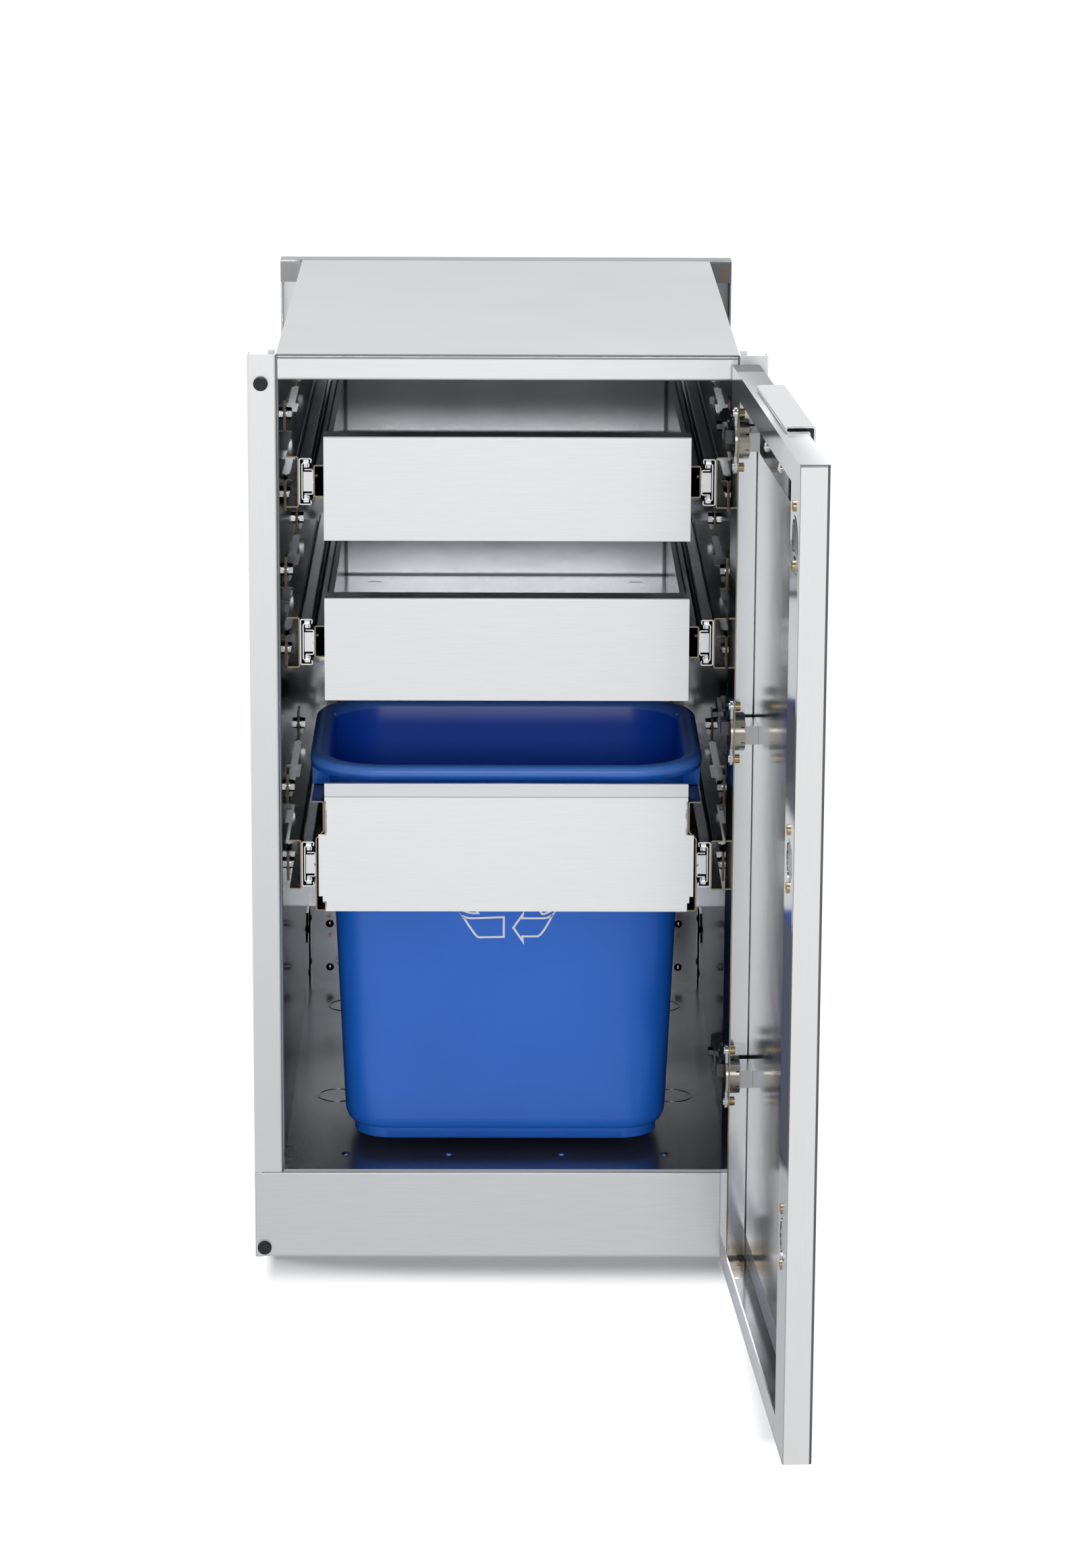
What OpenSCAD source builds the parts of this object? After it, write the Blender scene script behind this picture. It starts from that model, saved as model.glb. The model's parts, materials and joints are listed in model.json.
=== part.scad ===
// Stainless-steel cabinet with two drawers, a pull-out waste bin and one side-hinged door.
// X runs to the right, Y into the cabinet, Z up. The origin is the middle of the four
// levelling-foot holes, on the plane that the cabinet stands on.

/* [Carcass] */
// Width across the front frame
cab_w = 457.2; // [450:0.2:470]
// Height of the cabinet
cab_h = 838; // [830:1:870]
// Depth from the front frame to the rear frame
cab_d = 584; // [578:1:620]
// Thickness of the sheet steel
sheet_t = 1.2; // [1:0.1:1.4]
// Outside radius of the bends in the sheet
bend_r = 2.2; // [1.8:0.1:3]
// Width of each front stile
stile_w = 25.4; // [25:0.1:28]
// Depth of the stiles and of the rear frame
frame_d = 25.4; // [22:0.1:30]
// Height of the top rail
rail_h = 22.5; // [20:0.5:26]
// Height of the base under the floor
base_h = 82; // [76:1:90]
// How far the rear posts stand out beyond the side panels
post_w = 22.2; // [18:0.1:24]
// Height of the top rail of the rear frame
rear_rail_h = 22; // [18:1:28]
// Diameter of the levelling-foot holes
foot_hole_d = 10.2; // [8.2:0.1:12.2]
// Side of each levelling-foot plate
foot_plate = 48; // [40:1:60]
// Thickness of the levelling-foot plates
foot_plate_t = 3; // [2:0.5:5]
// Diameter of the joining holes in the rear posts
join_hole_d = 8.4; // [6.4:0.1:10.4]
// Height of the corner gussets
gusset_h = 82; // [70:1:95]
// Length of each leg of the corner gussets
gusset_leg = 44; // [38:1:60]

/* [Runners] */
// Height of the upper drawer's runners, as a share of the cabinet's height
upper_share = 0.8628; // [0.857:0.0001:0.868]
// Height of the lower drawer's runners, as a share of the cabinet's height
lower_share = 0.6891; // [0.683:0.0001:0.694]
// Height of the bin carrier's runners, as a share of the cabinet's height
bin_share = 0.4439; // [0.437:0.0001:0.448]
// Height of a runner
slide_h = 42; // [40:0.5:44]
// Thickness of a runner across the gap that it fills
slide_w = 12.7; // [12.5:0.1:13]
// Length of a runner
slide_len = 457; // [420:1:490]
// Travel of a drawer
travel = 430; // [360:1:440]
// Height of the channel that carries a runner
carrier_h = 46.2; // [45:0.2:50]
// Depth of the channel's flanges
carrier_w = 11; // [9:0.2:12]
// Length of the channel
carrier_len = 423; // [400:1:470]
// Height of the ears that bolt a channel to the side panel
ear_h = 28; // [25:1:30]
// Width of an ear along the runner
ear_w = 24; // [20:1:28]
// Place of the front ears behind the front frame
ear_front = 140; // [110:1:170]
// Place of the rear ears behind the front frame
ear_rear = 372; // [330:1:400]
// Start and length of the relief notch in the channel's flanges
notch_y = 222; // [200:1:240]
notch_len = 50; // [30:1:70]
// Diameter of the ear bolts
bolt_d = 6; // [5:0.5:7]

/* [Drawers] */
// Room between a drawer and the side of the front frame
drawer_side = 66.6; // [64.6:0.1:69.6]
// Depth of a drawer
drawer_d = 511; // [480:1:525]
// Height of a drawer front
drawer_h = 94; // [88:1:100]
// Height of the drawer sides and back
drawer_side_h = 86; // [70:1:88]
// How far the drawer fronts sit behind the front frame
front_gap = 2.3; // [1.5:0.1:4]
// Depth of the return along the top of a drawer front
drawer_return = 23; // [16:1:28]
// How far the runners sit above the drawer floor
runner_rise = 52; // [49:1:54]
// Height of the bracket between a drawer and its runner
bracket_h = 29; // [27:1:31]

/* [Bin] */
// Height of the carrier front
plate_h = 120; // [112:1:122]
// Height of the rolled lip along the top of the carrier front
lip_h = 12.3; // [10:0.1:15]
// How far the bottom of the carrier front lies below its runners
plate_drop = 42.5; // [40:0.5:44]
// How far the bin's rim stands out past the drawers' sides
bin_over = 16; // [13:0.5:17]
// Depth of the bin across its rim
bin_d = 262; // [250:1:268]
// Clear height under the bin
bin_clear = 13.1; // [8:0.1:28]
// Height of the rolled rim
rim_h = 12.5; // [10:0.5:16]
// How far the rim stands out from the body
rim_out = 15; // [14:0.5:16]
// Wall thickness of the bin
bin_wall = 2.2; // [1.8:0.1:2.6]
// Corner radius of the rim
rim_r = 64; // [55:1:70]
// How far each side draws in from the rim to the base
bin_taper = 15; // [12:1:17]
// How far each end draws in from the rim to the base
bin_taper_d = 17; // [14:1:22]

/* [Door] */
// How far the door stays in from each side of the front frame
door_side = 1.1; // [0.6:0.1:3.6]
// How far the door's top edge lies below the top of the cabinet
door_drop = 6.5; // [5:0.5:14]
// Thickness of the door
door_t = 24.3; // [24:0.1:26]
// Gap between the closed door and the front frame
door_gap = 3.5; // [3.4:0.1:4]
// Gap under the door
door_foot = 1.5; // [1:0.5:4]
// Width of the inward flanges along the door's sides
door_flange = 50; // [46:1:60]
// Height of the inward flanges along the door's top and bottom
door_end_flange = 22; // [18:1:26]
// Angle at which the door stands open
door_open = 93.6; // [80:0.2:98]
// Diameter of the hinge cups
cup_d = 35; // [34.6:0.1:35.6]
// Distance from the door's edge to the middle of a hinge cup
cup_in = 22; // [21.5:0.1:22.4]
// Depth of the round part of a hinge cup
cup_depth = 12; // [11:0.5:13]
// Distance between the two screws of a hinge cup
cup_screws = 48; // [45:0.5:52]
// Height of the upper hinge above the door's foot, as a share of the door's height
upper_hinge = 0.9259; // [0.921:0.0001:0.93]
// Height of the middle hinge above the door's foot, as a share of the door's height
middle_hinge = 0.609; // [0.58:0.001:0.63]
// Height of the lower hinge above the door's foot, as a share of the door's height
lower_hinge = 0.2247; // [0.18:0.0001:0.27]
// Distance from the door's edge to the hinge pin
pin_in = 12.5; // [12.2:0.1:12.8]
// Distance from the door's inner face to the hinge pin
pin_deep = 18; // [17.8:0.1:18.4]
// Diameter of the hinge pin
pin_d = 3; // [2.6:0.1:3.4]
// How far the backing channel reaches down inside the door
backing_h = 56; // [50:1:62]
// Width of the door pull
pull_w = 190; // [150:1:200]
// Thickness of the door pull's sheet
pull_t = 1.5; // [1.2:0.1:2]

/* [Hidden] */
$fn = 48;

// Middle line of a bend
mid_r = bend_r - sheet_t / 2;
// Half of the sheet thickness
half_t = sheet_t / 2;
// Inside radius of a tight bend, and the relief of the edge that it goes over
tight_r = 0.3;
// Inner face of the side panels
side_x = cab_w / 2 - stile_w - sheet_t;
// Inner edge of the stiles
stile_x = cab_w / 2 - stile_w;
// Back face of the side panels and the back panel
rear_y = cab_d - frame_d;
// Top of the floor
floor_z = base_h + 2 * sheet_t;
// Heights of the three pairs of runners
upper_z = cab_h * upper_share;
lower_z = cab_h * lower_share;
bin_z = cab_h * bin_share;
// Widths of the drawers, the bin's rim and the door
drawer_w = cab_w - 2 * drawer_side;
bin_w = drawer_w + 2 * bin_over;
door_w = cab_w - 2 * door_side;
// Embossed rings on the floor
ring_x = drawer_w / 2 - 2;
ring_ys = [cab_d * 0.351, cab_d * 0.822];
ring_d = 38;
// Width of the brackets between a drawer and its runners
bracket_w = 9.3;
// Height of the end stops on the runners' inner members, and their length
stop_h = slide_h - 24.4;
stop_len = slide_w + 1.3;
// Rivets between the brackets and the runners, measured from the drawer's front
bracket_rivet_ys = [34, slide_len / 2 + 11.5, slide_len - 27];
// Drain slots in the drawer floors, measured from the front frame
slot_x = drawer_w / 2 - 32;
slot_ys = [55, drawer_d - 31];
// Inner face of the channels that carry the runners
carrier_x = drawer_w / 2 + bracket_w + slide_w;
// Thickness of the runners' steel
slide_t = 1;
// Half heights of the middle and inner members
middle_h = slide_h / 2 - 4.7;
inner_h = slide_h / 2 - 10;
// Front ends of the channels and of the runners
carrier_y = 6;
slide_y = 8;
// Clearance between a moving piece and its neighbour
run_gap = 0.6;
// Clearance of a bolt or rivet in its hole
hole_gap = 0.2;
// Clearance of the hinge pin in its bore
pin_gap = 0.05;
// Place of the joining holes in the rear posts
join_low_z = 150;
join_high_z = cab_h - 60;
// Place of the levelling-foot holes
foot_x = side_x - foot_plate / 2;
foot_front_y = frame_d + sheet_t + foot_plate / 2;
foot_rear_y = cab_d - foot_front_y;
// Door height and hinge heights
door_h = cab_h - door_drop - door_foot;
upper_hinge_z = door_foot + door_h * upper_hinge;
middle_hinge_z = door_foot + door_h * middle_hinge;
lower_hinge_z = door_foot + door_h * lower_hinge;
hinge_zs = [upper_hinge_z, middle_hinge_z, lower_hinge_z];
// Right edge of the closed door
door_x = door_w / 2;
// Inner face of the closed door
door_y = -door_gap;
// Hinge pin, with the door closed
pin_x = door_x - pin_in;
pin_y = door_y - pin_deep;
// Middle of the hinge cups, with the door closed
cup_x = door_x - cup_in;
// Hinge cups: inserts, hole, and the pocket round the arm
insert_d = 8;
cup_screw_d = 4;
cup_hole_d = cup_d + 0.4;
cup_plate_t = 1.2;
pocket_h = 16.4;
pocket_low = door_y - pin_deep - 4.2;
// Pull: gap between its two layers, and the screws through its backing channel
pull_hem = 4.4;
pull_face_in = 9.4;
pull_drop = 44;
pull_grip = 30;
pull_depth = 14;
pull_shelf = 6;
pull_screw_xs = [-46, 46];
pull_screw_z = door_foot + door_h - 38;
pull_screw_d = 5;
// Rivets
rivet_xs = [-0.3215 * cab_w, -0.1137 * cab_w, 0.1137 * cab_w, 0.3215 * cab_w];
rivet_y = 42;
rivet_d = 4;
rivet_head_d = 8.2;
rivet_head_h = 1.8;
// Rubber bumpers
bumper_d = 12.7;
bumper_h = 3;
bumper_stem = 5;
bumper_x = cab_w / 2 - 12;
bumper_high_z = cab_h - 26;
// Heights of the gusset rivets and of the ear bolts
gusset_zs = [floor_z + 0.2 * gusset_h, floor_z + 0.77 * gusset_h];
ear_bolt_z = carrier_h / 2 + 14;
// Rim height of the bin, and the carrier's flange that it hangs on
rail_flange_z = bin_z + 60;
bin_top = rail_flange_z + 30.5;
bin_h = bin_top - floor_z - bin_clear;
bin_y = front_gap + 5.7;
lug_gap = 0.3;
lug_y = bin_d * 0.2977;
// Front and rails of the bin carrier
plate_low = bin_z - plate_drop;
plate_top = plate_low + plate_h;
plate_ear_z = plate_low + 0.6 * plate_h;
rail_len = slide_len - slide_w + 0.7;
// Steps in the rails' walls above the runners' middle, and height of the cross bars
rail_step_high = 32;
rail_step_low = 25;
bar_h = plate_h - 46;
// Half width of the space between the bin carrier's walls
rail_in_x = drawer_w / 2 + 1.4;
rail_out_x = carrier_x - slide_w;

function unit(v) = v / norm(v);
function left_of(v) = [-v.y, v.x];
function cross2(a, b) = a.x * b.y - a.y * b.x;
// Turn from direction a to direction b, positive to the left
function turn(a, b) = atan2(cross2(a, b), a * b);
// Length that a bend takes from each straight that it joins
function bend_cut(pts, i, r) =
    r * tan(abs(turn(pts[i] - pts[i - 1], pts[i + 1] - pts[i])) / 2);

// Whether every straight of a line runs along X or along Y
function is_square(pts) =
    len([for (i = [1:len(pts) - 1]) if ((pts[i] - pts[i - 1]).x * (pts[i] - pts[i - 1]).y != 0) i]) == 0;

// Strip of sheet that follows a line, with a round bend at each inner point
module bent(pts, t = sheet_t, r = mid_r) {
    last = len(pts) - 1;
    // Slanted lines reach a hair into their bends, so that the pieces join
    lap = is_square(pts) ? 0 : 0.01;
    for (i = [0:last - 1]) {
        a = pts[i];
        b = pts[i + 1];
        from_cut = i == 0 ? 0 : bend_cut(pts, i, r);
        to_cut = i == last - 1 ? 0 : bend_cut(pts, i + 1, r);
        u = unit(b - a);
        translate(a + u * (from_cut - lap))
            rotate(atan2(u.y, u.x))
                translate([0, -t / 2])
                    square([norm(b - a) - from_cut - to_cut + 2 * lap, t]);
    }
    for (i = [1:1:last - 1])
        bend(pts[i - 1], pts[i], pts[i + 1], bend_cut(pts, i, r), t, r);
}

// One bend between the straights a-b and b-c
module bend(a, b, c, cut, t, r) {
    u = unit(b - a);
    v = unit(c - b);
    side = turn(u, v) > 0 ? -1 : 1;
    from_out = left_of(u) * side;
    to_out = left_of(v) * side;
    reach = 2 * (r + t);
    translate(b - u * cut - from_out * r)
        intersection() {
            difference() {
                circle(r + t / 2);
                circle(r - t / 2);
            }
            polygon([[0, 0], from_out * reach, unit(from_out + to_out) * reach * 1.5, to_out * reach]);
        }
}

// Extrusions of an outline along each axis, from one place to another
module along_x(x0, x1) {
    translate([x0, 0, 0])
        rotate([90, 0, 90])
            linear_extrude(x1 - x0)
                children();
}

module along_y(y0, y1) {
    translate([0, y1, 0])
        rotate([90, 0, 0])
            linear_extrude(y1 - y0)
                children();
}

module along_z(z0, z1) {
    translate([0, 0, z0])
        linear_extrude(z1 - z0)
            children();
}

// Box from one corner to the opposite one
module block(low, high) {
    translate(low)
        cube(high - low);
}

// Round bar along X, Y or Z from a point
module rod_x(p, d, length) {
    translate(p)
        rotate([0, 90, 0])
            cylinder(d = d, h = length);
}

module rod_y(p, d, length) {
    translate(p)
        rotate([-90, 0, 0])
            cylinder(d = d, h = length);
}

module rod_z(p, d, length) {
    translate(p)
        cylinder(d = d, h = length);
}

// Places measured from the front frame move to the cabinet's middle
module from_front() {
    translate([0, -cab_d / 2, 0])
        children();
}

// A piece drawn on the right is drawn on the given side, -1 for the left
module on_side(side) {
    if (side > 0)
        children();
    else
        mirror([1, 0, 0])
            children();
}

// A piece drawn on the closed door stands open with it
module on_door() {
    from_front()
        translate([pin_x, pin_y, 0])
            rotate([0, 0, door_open])
                translate([-pin_x, -pin_y, 0])
                    children();
}

// Base

module base_channel() {
    color("silver") from_front()
        difference() {
            union() {
                along_x(-cab_w / 2 + sheet_t, cab_w / 2 - sheet_t)
                    bent([
                        [frame_d, half_t], [half_t, half_t],
                        [half_t, base_h - half_t], [frame_d, base_h - half_t]
                    ]);
                for (side = [-1, 1])
                    on_side(side)
                        block([cab_w / 2 - sheet_t, bend_r, 0], [cab_w / 2, frame_d, base_h]);
                for (side = [-1, 1])
                    on_side(side)
                        along_z(0, base_h)
                            bent([
                                [cab_w / 2 - 3 * bend_r, half_t], [cab_w / 2 - half_t, half_t],
                                [cab_w / 2 - half_t, 3 * bend_r]
                            ]);
            }
            rod_y([-cab_w / 2 + 8.5, -1, 9], bumper_stem + hole_gap, frame_d);
            for (x = rivet_xs)
                rod_z([x, 21, base_h - 2], rivet_d + hole_gap, 4);
        }
}

module floor_panel() {
    color("lightslategray") from_front()
        difference() {
            union() {
                block([-side_x, sheet_t, floor_z - sheet_t], [side_x, rear_y - sheet_t, floor_z]);
                block([-side_x, sheet_t, base_h], [side_x, 14, floor_z - sheet_t]);
                for (x = [-ring_x, ring_x])
                    for (y = ring_ys)
                        translate([x, y, floor_z])
                            difference() {
                                cylinder(d = ring_d, h = 0.5);
                                translate([0, 0, -1])
                                    cylinder(d = ring_d - 4, h = 3);
                            }
            }
            for (x = rivet_xs)
                rod_z([x, rivet_y, base_h - 1], rivet_d + hole_gap, 6);
        }
}

module foot_plates() {
    color("silver") from_front()
        for (side = [-1, 1])
            for (y = [foot_front_y, foot_rear_y])
                on_side(side)
                    difference() {
                        block([foot_x - foot_plate / 2, y - foot_plate / 2, 0],
                            [foot_x + foot_plate / 2, y + foot_plate / 2, foot_plate_t]);
                        rod_z([foot_x, y, -1], foot_hole_d, foot_plate_t + 2);
                    }
}

// Walls

module side_panel(side) {
    color("lightslategray") from_front() on_side(side)
        difference() {
            along_y(frame_d, rear_y)
                bent([
                    [side_x - 11, cab_h - sheet_t - half_t],
                    [side_x + half_t, cab_h - sheet_t - half_t],
                    [side_x + half_t, 0]
                ]);
            for (z = [upper_z, lower_z, bin_z])
                for (y = [ear_front, ear_rear])
                    for (up = [-1, 1])
                        rod_x([side_x - 5, y, z + up * ear_bolt_z], bolt_d + hole_gap, 10);
            for (z = gusset_zs)
                rod_x([side_x - 5, rear_y - gusset_leg / 2, z], rivet_d + hole_gap, 10);
        }
}

module left_side_panel() {
    side_panel(-1);
}

module right_side_panel() {
    side_panel(1);
}

module back_panel() {
    color("gainsboro") from_front()
        difference() {
            union() {
                block([-side_x, rear_y - sheet_t, 0], [side_x, rear_y, cab_h - 5 * sheet_t]);
                along_x(-side_x + 14, side_x - 14)
                    bent([
                        [rear_y - half_t, cab_h - 8 * sheet_t], [rear_y - half_t, cab_h - sheet_t - half_t],
                        [rear_y - 14, cab_h - sheet_t - half_t]
                    ]);
            }
            gusset_rivet_holes();
        }
}

module top_panel() {
    color("gainsboro") from_front()
        union() {
            block([-stile_x, sheet_t, cab_h - sheet_t], [stile_x, rear_y, cab_h]);
            for (side = [-1, 1])
                on_side(side)
                    along_y(sheet_t, frame_d)
                        bent([[stile_x - 8, cab_h - half_t], [stile_x - half_t, cab_h - half_t],
                            [stile_x - half_t, cab_h - rail_h]], sheet_t, half_t + tight_r);
        }
}

module front_stile(side) {
    color("whitesmoke") from_front() on_side(side)
        difference() {
            along_z(base_h, cab_h)
                bent([
                    [stile_x + 8, frame_d - half_t],
                    [stile_x + half_t, frame_d - half_t],
                    [stile_x + half_t, half_t],
                    [cab_w / 2 - half_t, half_t],
                    [cab_w / 2 - half_t, frame_d]
                ]);
            rod_y([bumper_x, -1, bumper_high_z], bumper_stem + hole_gap, 4);
            for (z = hinge_zs)
                for (up = [-1, 1])
                    rod_x([stile_x - 2, 14, z + up * 12], 4 + hole_gap, 6);
        }
}

module left_front_stile() {
    front_stile(-1);
}

module right_front_stile() {
    front_stile(1);
}

module top_rail() {
    color("whitesmoke") from_front()
        along_x(-stile_x + sheet_t + tight_r, stile_x - sheet_t - tight_r)
            bent([
                [frame_d, cab_h - sheet_t - half_t], [half_t, cab_h - sheet_t - half_t],
                [half_t, cab_h - rail_h + half_t], [frame_d, cab_h - rail_h + half_t],
                [frame_d, cab_h - rail_h + 6]
            ]);
}

// Rear frame

module rear_top_rail() {
    reach = stile_x + post_w;
    color("gainsboro") from_front()
        difference() {
            along_x(-reach, reach)
                bent([
                    [rear_y + half_t, cab_h - rear_rail_h], [rear_y + half_t, cab_h - half_t],
                    [cab_d - half_t, cab_h - half_t], [cab_d - half_t, cab_h - rear_rail_h]
                ]);
            for (side = [-1, 1])
                on_side(side)
                    translate([reach - 5, cab_d - 5, cab_h - 5])
                        difference() {
                            cube([10, 10, 10]);
                            translate([0, 0, -1])
                                cylinder(r = 5, h = 12);
                        }
        }
}

module rear_post(side) {
    color("gainsboro") from_front() on_side(side)
        difference() {
            along_z(0, cab_h - rear_rail_h)
                bent([
                    [side_x + sheet_t + half_t, rear_y - 18],
                    [side_x + sheet_t + half_t, cab_d - half_t],
                    [stile_x + post_w - half_t, cab_d - half_t],
                    [stile_x + post_w - half_t, rear_y]
                ]);
            for (z = [join_low_z, join_high_z])
                rod_x([stile_x + post_w - 4, cab_d - frame_d / 2, z], join_hole_d, 8);
        }
}

module left_rear_post() {
    rear_post(-1);
}

module right_rear_post() {
    rear_post(1);
}

module gusset_rivet_holes() {
    for (side = [-1, 1])
        for (z = gusset_zs)
            on_side(side) {
                rod_y([side_x - gusset_leg / 2, rear_y - 5, z], rivet_d + hole_gap, 10);
                rod_x([side_x - 5, rear_y - gusset_leg / 2, z], rivet_d + hole_gap, 10);
            }
}

// Corner gussets, one leg on the back panel and one slanted leg on the side panel
module corner_gussets() {
    color("gainsboro") from_front()
        difference() {
            for (side = [-1, 1])
                on_side(side)
                    difference() {
                        along_z(floor_z, floor_z + gusset_h)
                            bent([
                                [side_x - half_t, rear_y - sheet_t - gusset_leg],
                                [side_x - half_t, rear_y - sheet_t - half_t],
                                [side_x - gusset_leg, rear_y - sheet_t - half_t]
                            ]);
                        along_x(side_x - 3, side_x + 1)
                            polygon([
                                [rear_y - gusset_leg - 3, floor_z + 0.65 * gusset_h],
                                [rear_y - 0.6 * gusset_leg, floor_z + gusset_h + 1],
                                [rear_y - gusset_leg - 3, floor_z + gusset_h + 1]
                            ]);
                    }
            gusset_rivet_holes();
        }
}

// Pan-head rivets through the floor and through the corner gussets
module panel_rivets() {
    color("gray") from_front() {
        for (x = rivet_xs) {
            rod_z([x, rivet_y, floor_z - sheet_t], rivet_d, sheet_t);
            rivet_head([x, rivet_y, floor_z], [0, 0, 0]);
            rod_z([x, rivet_y, base_h - 1], 6, 1 + sheet_t);
        }
        for (side = [-1, 1])
            for (z = gusset_zs)
                on_side(side) {
                    x = side_x - gusset_leg / 2;
                    y = rear_y - gusset_leg / 2;
                    rod_y([x, rear_y - 2 * sheet_t, z], rivet_d, 2 * sheet_t);
                    rivet_head([x, rear_y - 2 * sheet_t, z], [90, 0, 0]);
                    rod_x([side_x - sheet_t, y, z], rivet_d, 2 * sheet_t);
                    rivet_head([side_x - sheet_t, y, z], [0, -90, 0]);
                }
    }
}

// Low domed head on a flat face, turned as given
module rivet_head(p, turned) {
    dome_r = (pow(rivet_head_d / 2, 2) + pow(rivet_head_h, 2)) / (2 * rivet_head_h);
    translate(p)
        rotate(turned)
            intersection() {
                cylinder(d = rivet_head_d, h = rivet_head_h);
                translate([0, 0, rivet_head_h - dome_r])
                    sphere(dome_r);
            }
}

// Rubber bumpers that the door closes on
module door_bumpers() {
    color("black") from_front()
        for (p = [[-bumper_x, bumper_high_z], [-cab_w / 2 + 8.5, 9]]) {
            translate([p.x, -bumper_h, p.y])
                rotate([-90, 0, 0]) {
                    cylinder(d1 = bumper_d - 2, d2 = bumper_d, h = 1);
                    translate([0, 0, 1])
                        cylinder(d = bumper_d, h = bumper_h - 1);
                    translate([0, 0, bumper_h])
                        cylinder(d = bumper_stem, h = sheet_t);
                    translate([0, 0, bumper_h + sheet_t])
                        cylinder(d1 = bumper_stem + 3, d2 = bumper_stem, h = 3);
                }
        }
}

// Runners

// Channel that carries a runner, open towards the side panel, with four bolted ears
module carrier(side, z) {
    edge_x = carrier_x + carrier_w;
    color("slategray") from_front() on_side(side) translate([0, 0, z])
        difference() {
            union() {
                along_y(carrier_y, carrier_y + carrier_len)
                    bent([
                        [edge_x, carrier_h / 2 - half_t],
                        [carrier_x + half_t, carrier_h / 2 - half_t],
                        [carrier_x + half_t, -carrier_h / 2 + half_t],
                        [edge_x, -carrier_h / 2 + half_t]
                    ]);
                for (ys = [[ear_front - ear_w / 2, notch_y], [notch_y + notch_len, carrier_y + carrier_len]])
                    for (up = [0, 1])
                        mirror([0, 0, up])
                            block([edge_x - 1, ys[0], carrier_h / 2 - sheet_t],
                                [side_x - 3.4, ys[1], carrier_h / 2]);
                for (y = [ear_front, ear_rear])
                    for (up = [0, 1])
                        mirror([0, 0, up])
                            along_y(y - ear_w / 2, y + ear_w / 2)
                                bent([
                                    [edge_x - 3, carrier_h / 2 - half_t],
                                    [side_x - half_t, carrier_h / 2 - half_t],
                                    [side_x - half_t, carrier_h / 2 + ear_h]
                                ]);
            }
            for (y = [ear_front, ear_rear])
                for (up = [-1, 1])
                    rod_x([side_x - 4, y, up * ear_bolt_z], bolt_d + hole_gap, 8);
        }
}

// Hex bolts with washers and nuts that hold the ears to the side panels
module carrier_bolts() {
    color("white") from_front()
        for (side = [-1, 1])
            for (z = [upper_z, lower_z, bin_z])
                for (y = [ear_front, ear_rear])
                    for (up = [-1, 1])
                        on_side(side)
                            translate([side_x - sheet_t, y, z + up * ear_bolt_z])
                                rotate([0, 90, 0])
                                    hex_bolt();
}

module hex_bolt() {
    grip = 2 * sheet_t;
    translate([0, 0, -1])
        cylinder(d = 12, h = 1);
    translate([0, 0, -5])
        cylinder(d = 11, h = 4, $fn = 6);
    cylinder(d = bolt_d, h = grip + 5.5);
    translate([0, 0, grip])
        cylinder(d = 11, h = 4.5, $fn = 6);
}

// Outlines of the runner's members. X is the distance from the carrier towards the drawer.

module outer_outline() {
    h = slide_h / 2 - slide_t / 2;
    web = slide_t / 2;
    lip = slide_w - 1.5;
    bent([[lip - 0.8, h - 3.7], [lip, h], [web, h], [web, -h], [lip, -h], [lip - 0.8, -h + 3.7]],
        slide_t, 1.3);
}

module middle_outline() {
    h = middle_h;
    web = 2.8;
    lip = slide_w - 3.7;
    bent([[lip - 0.4, h - 3.5], [lip, h], [web, h], [web, -h], [lip, -h], [lip - 0.4, -h + 3.5]],
        slide_t, 1.3);
}

module inner_outline() {
    h = inner_h;
    face = slide_w - slide_t / 2;
    bent([[5, h], [face, h], [face, -h], [5, -h]], slide_t, 1.3);
}

// Places a runner's outline on the right-hand carrier at its height
module runner(side, z) {
    from_front() on_side(side) translate([carrier_x, 0, z]) mirror([1, 0, 0])
        children();
}

module outer_slide(side, z) {
    color("silver") runner(side, z)
        along_y(slide_y, slide_y + slide_len)
            outer_outline();
}

// Middle member with the ball cages on both of its sides
module middle_slide(side, z) {
    y0 = slide_y + 0.5;
    length = slide_len - 16;
    top = middle_h + slide_t / 2;
    color("gainsboro") runner(side, z) {
        along_y(y0, y0 + length)
            middle_outline();
        for (up = [0, 1])
            mirror([0, 0, up]) {
                block([4, y0 + 2, top], [8.6, y0 + length - 2, top + 2.4]);
                block([4.6, y0 + 1, inner_h + 1.4], [7.6, y0 + length - 2, top - slide_t]);
            }
    }
}

// Inner member with its end stop
module inner_slide(side, z) {
    length = slide_len - 10;
    color("white") runner(side, z)
        difference() {
            union() {
                along_y(slide_y - 1, slide_y - 1 + length)
                    inner_outline();
                block([4, slide_y, -stop_h / 2], [slide_w - slide_t / 2, slide_y + stop_len, stop_h / 2]);
            }
            translate([slide_w, slide_y - 2, 0])
                rotate([0, 45, 0])
                    cube([3, 8, 3], center = true);
        }
}

module upper_left_carrier() { carrier(-1, upper_z); }
module upper_right_carrier() { carrier(1, upper_z); }
module lower_left_carrier() { carrier(-1, lower_z); }
module lower_right_carrier() { carrier(1, lower_z); }
module bin_left_carrier() { carrier(-1, bin_z); }
module bin_right_carrier() { carrier(1, bin_z); }

module upper_left_outer_slide() { outer_slide(-1, upper_z); }
module upper_right_outer_slide() { outer_slide(1, upper_z); }
module lower_left_outer_slide() { outer_slide(-1, lower_z); }
module lower_right_outer_slide() { outer_slide(1, lower_z); }
module bin_left_outer_slide() { outer_slide(-1, bin_z); }
module bin_right_outer_slide() { outer_slide(1, bin_z); }

module upper_left_middle_slide() { middle_slide(-1, upper_z); }
module upper_right_middle_slide() { middle_slide(1, upper_z); }
module lower_left_middle_slide() { middle_slide(-1, lower_z); }
module lower_right_middle_slide() { middle_slide(1, lower_z); }
module bin_left_middle_slide() { middle_slide(-1, bin_z); }
module bin_right_middle_slide() { middle_slide(1, bin_z); }

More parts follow.
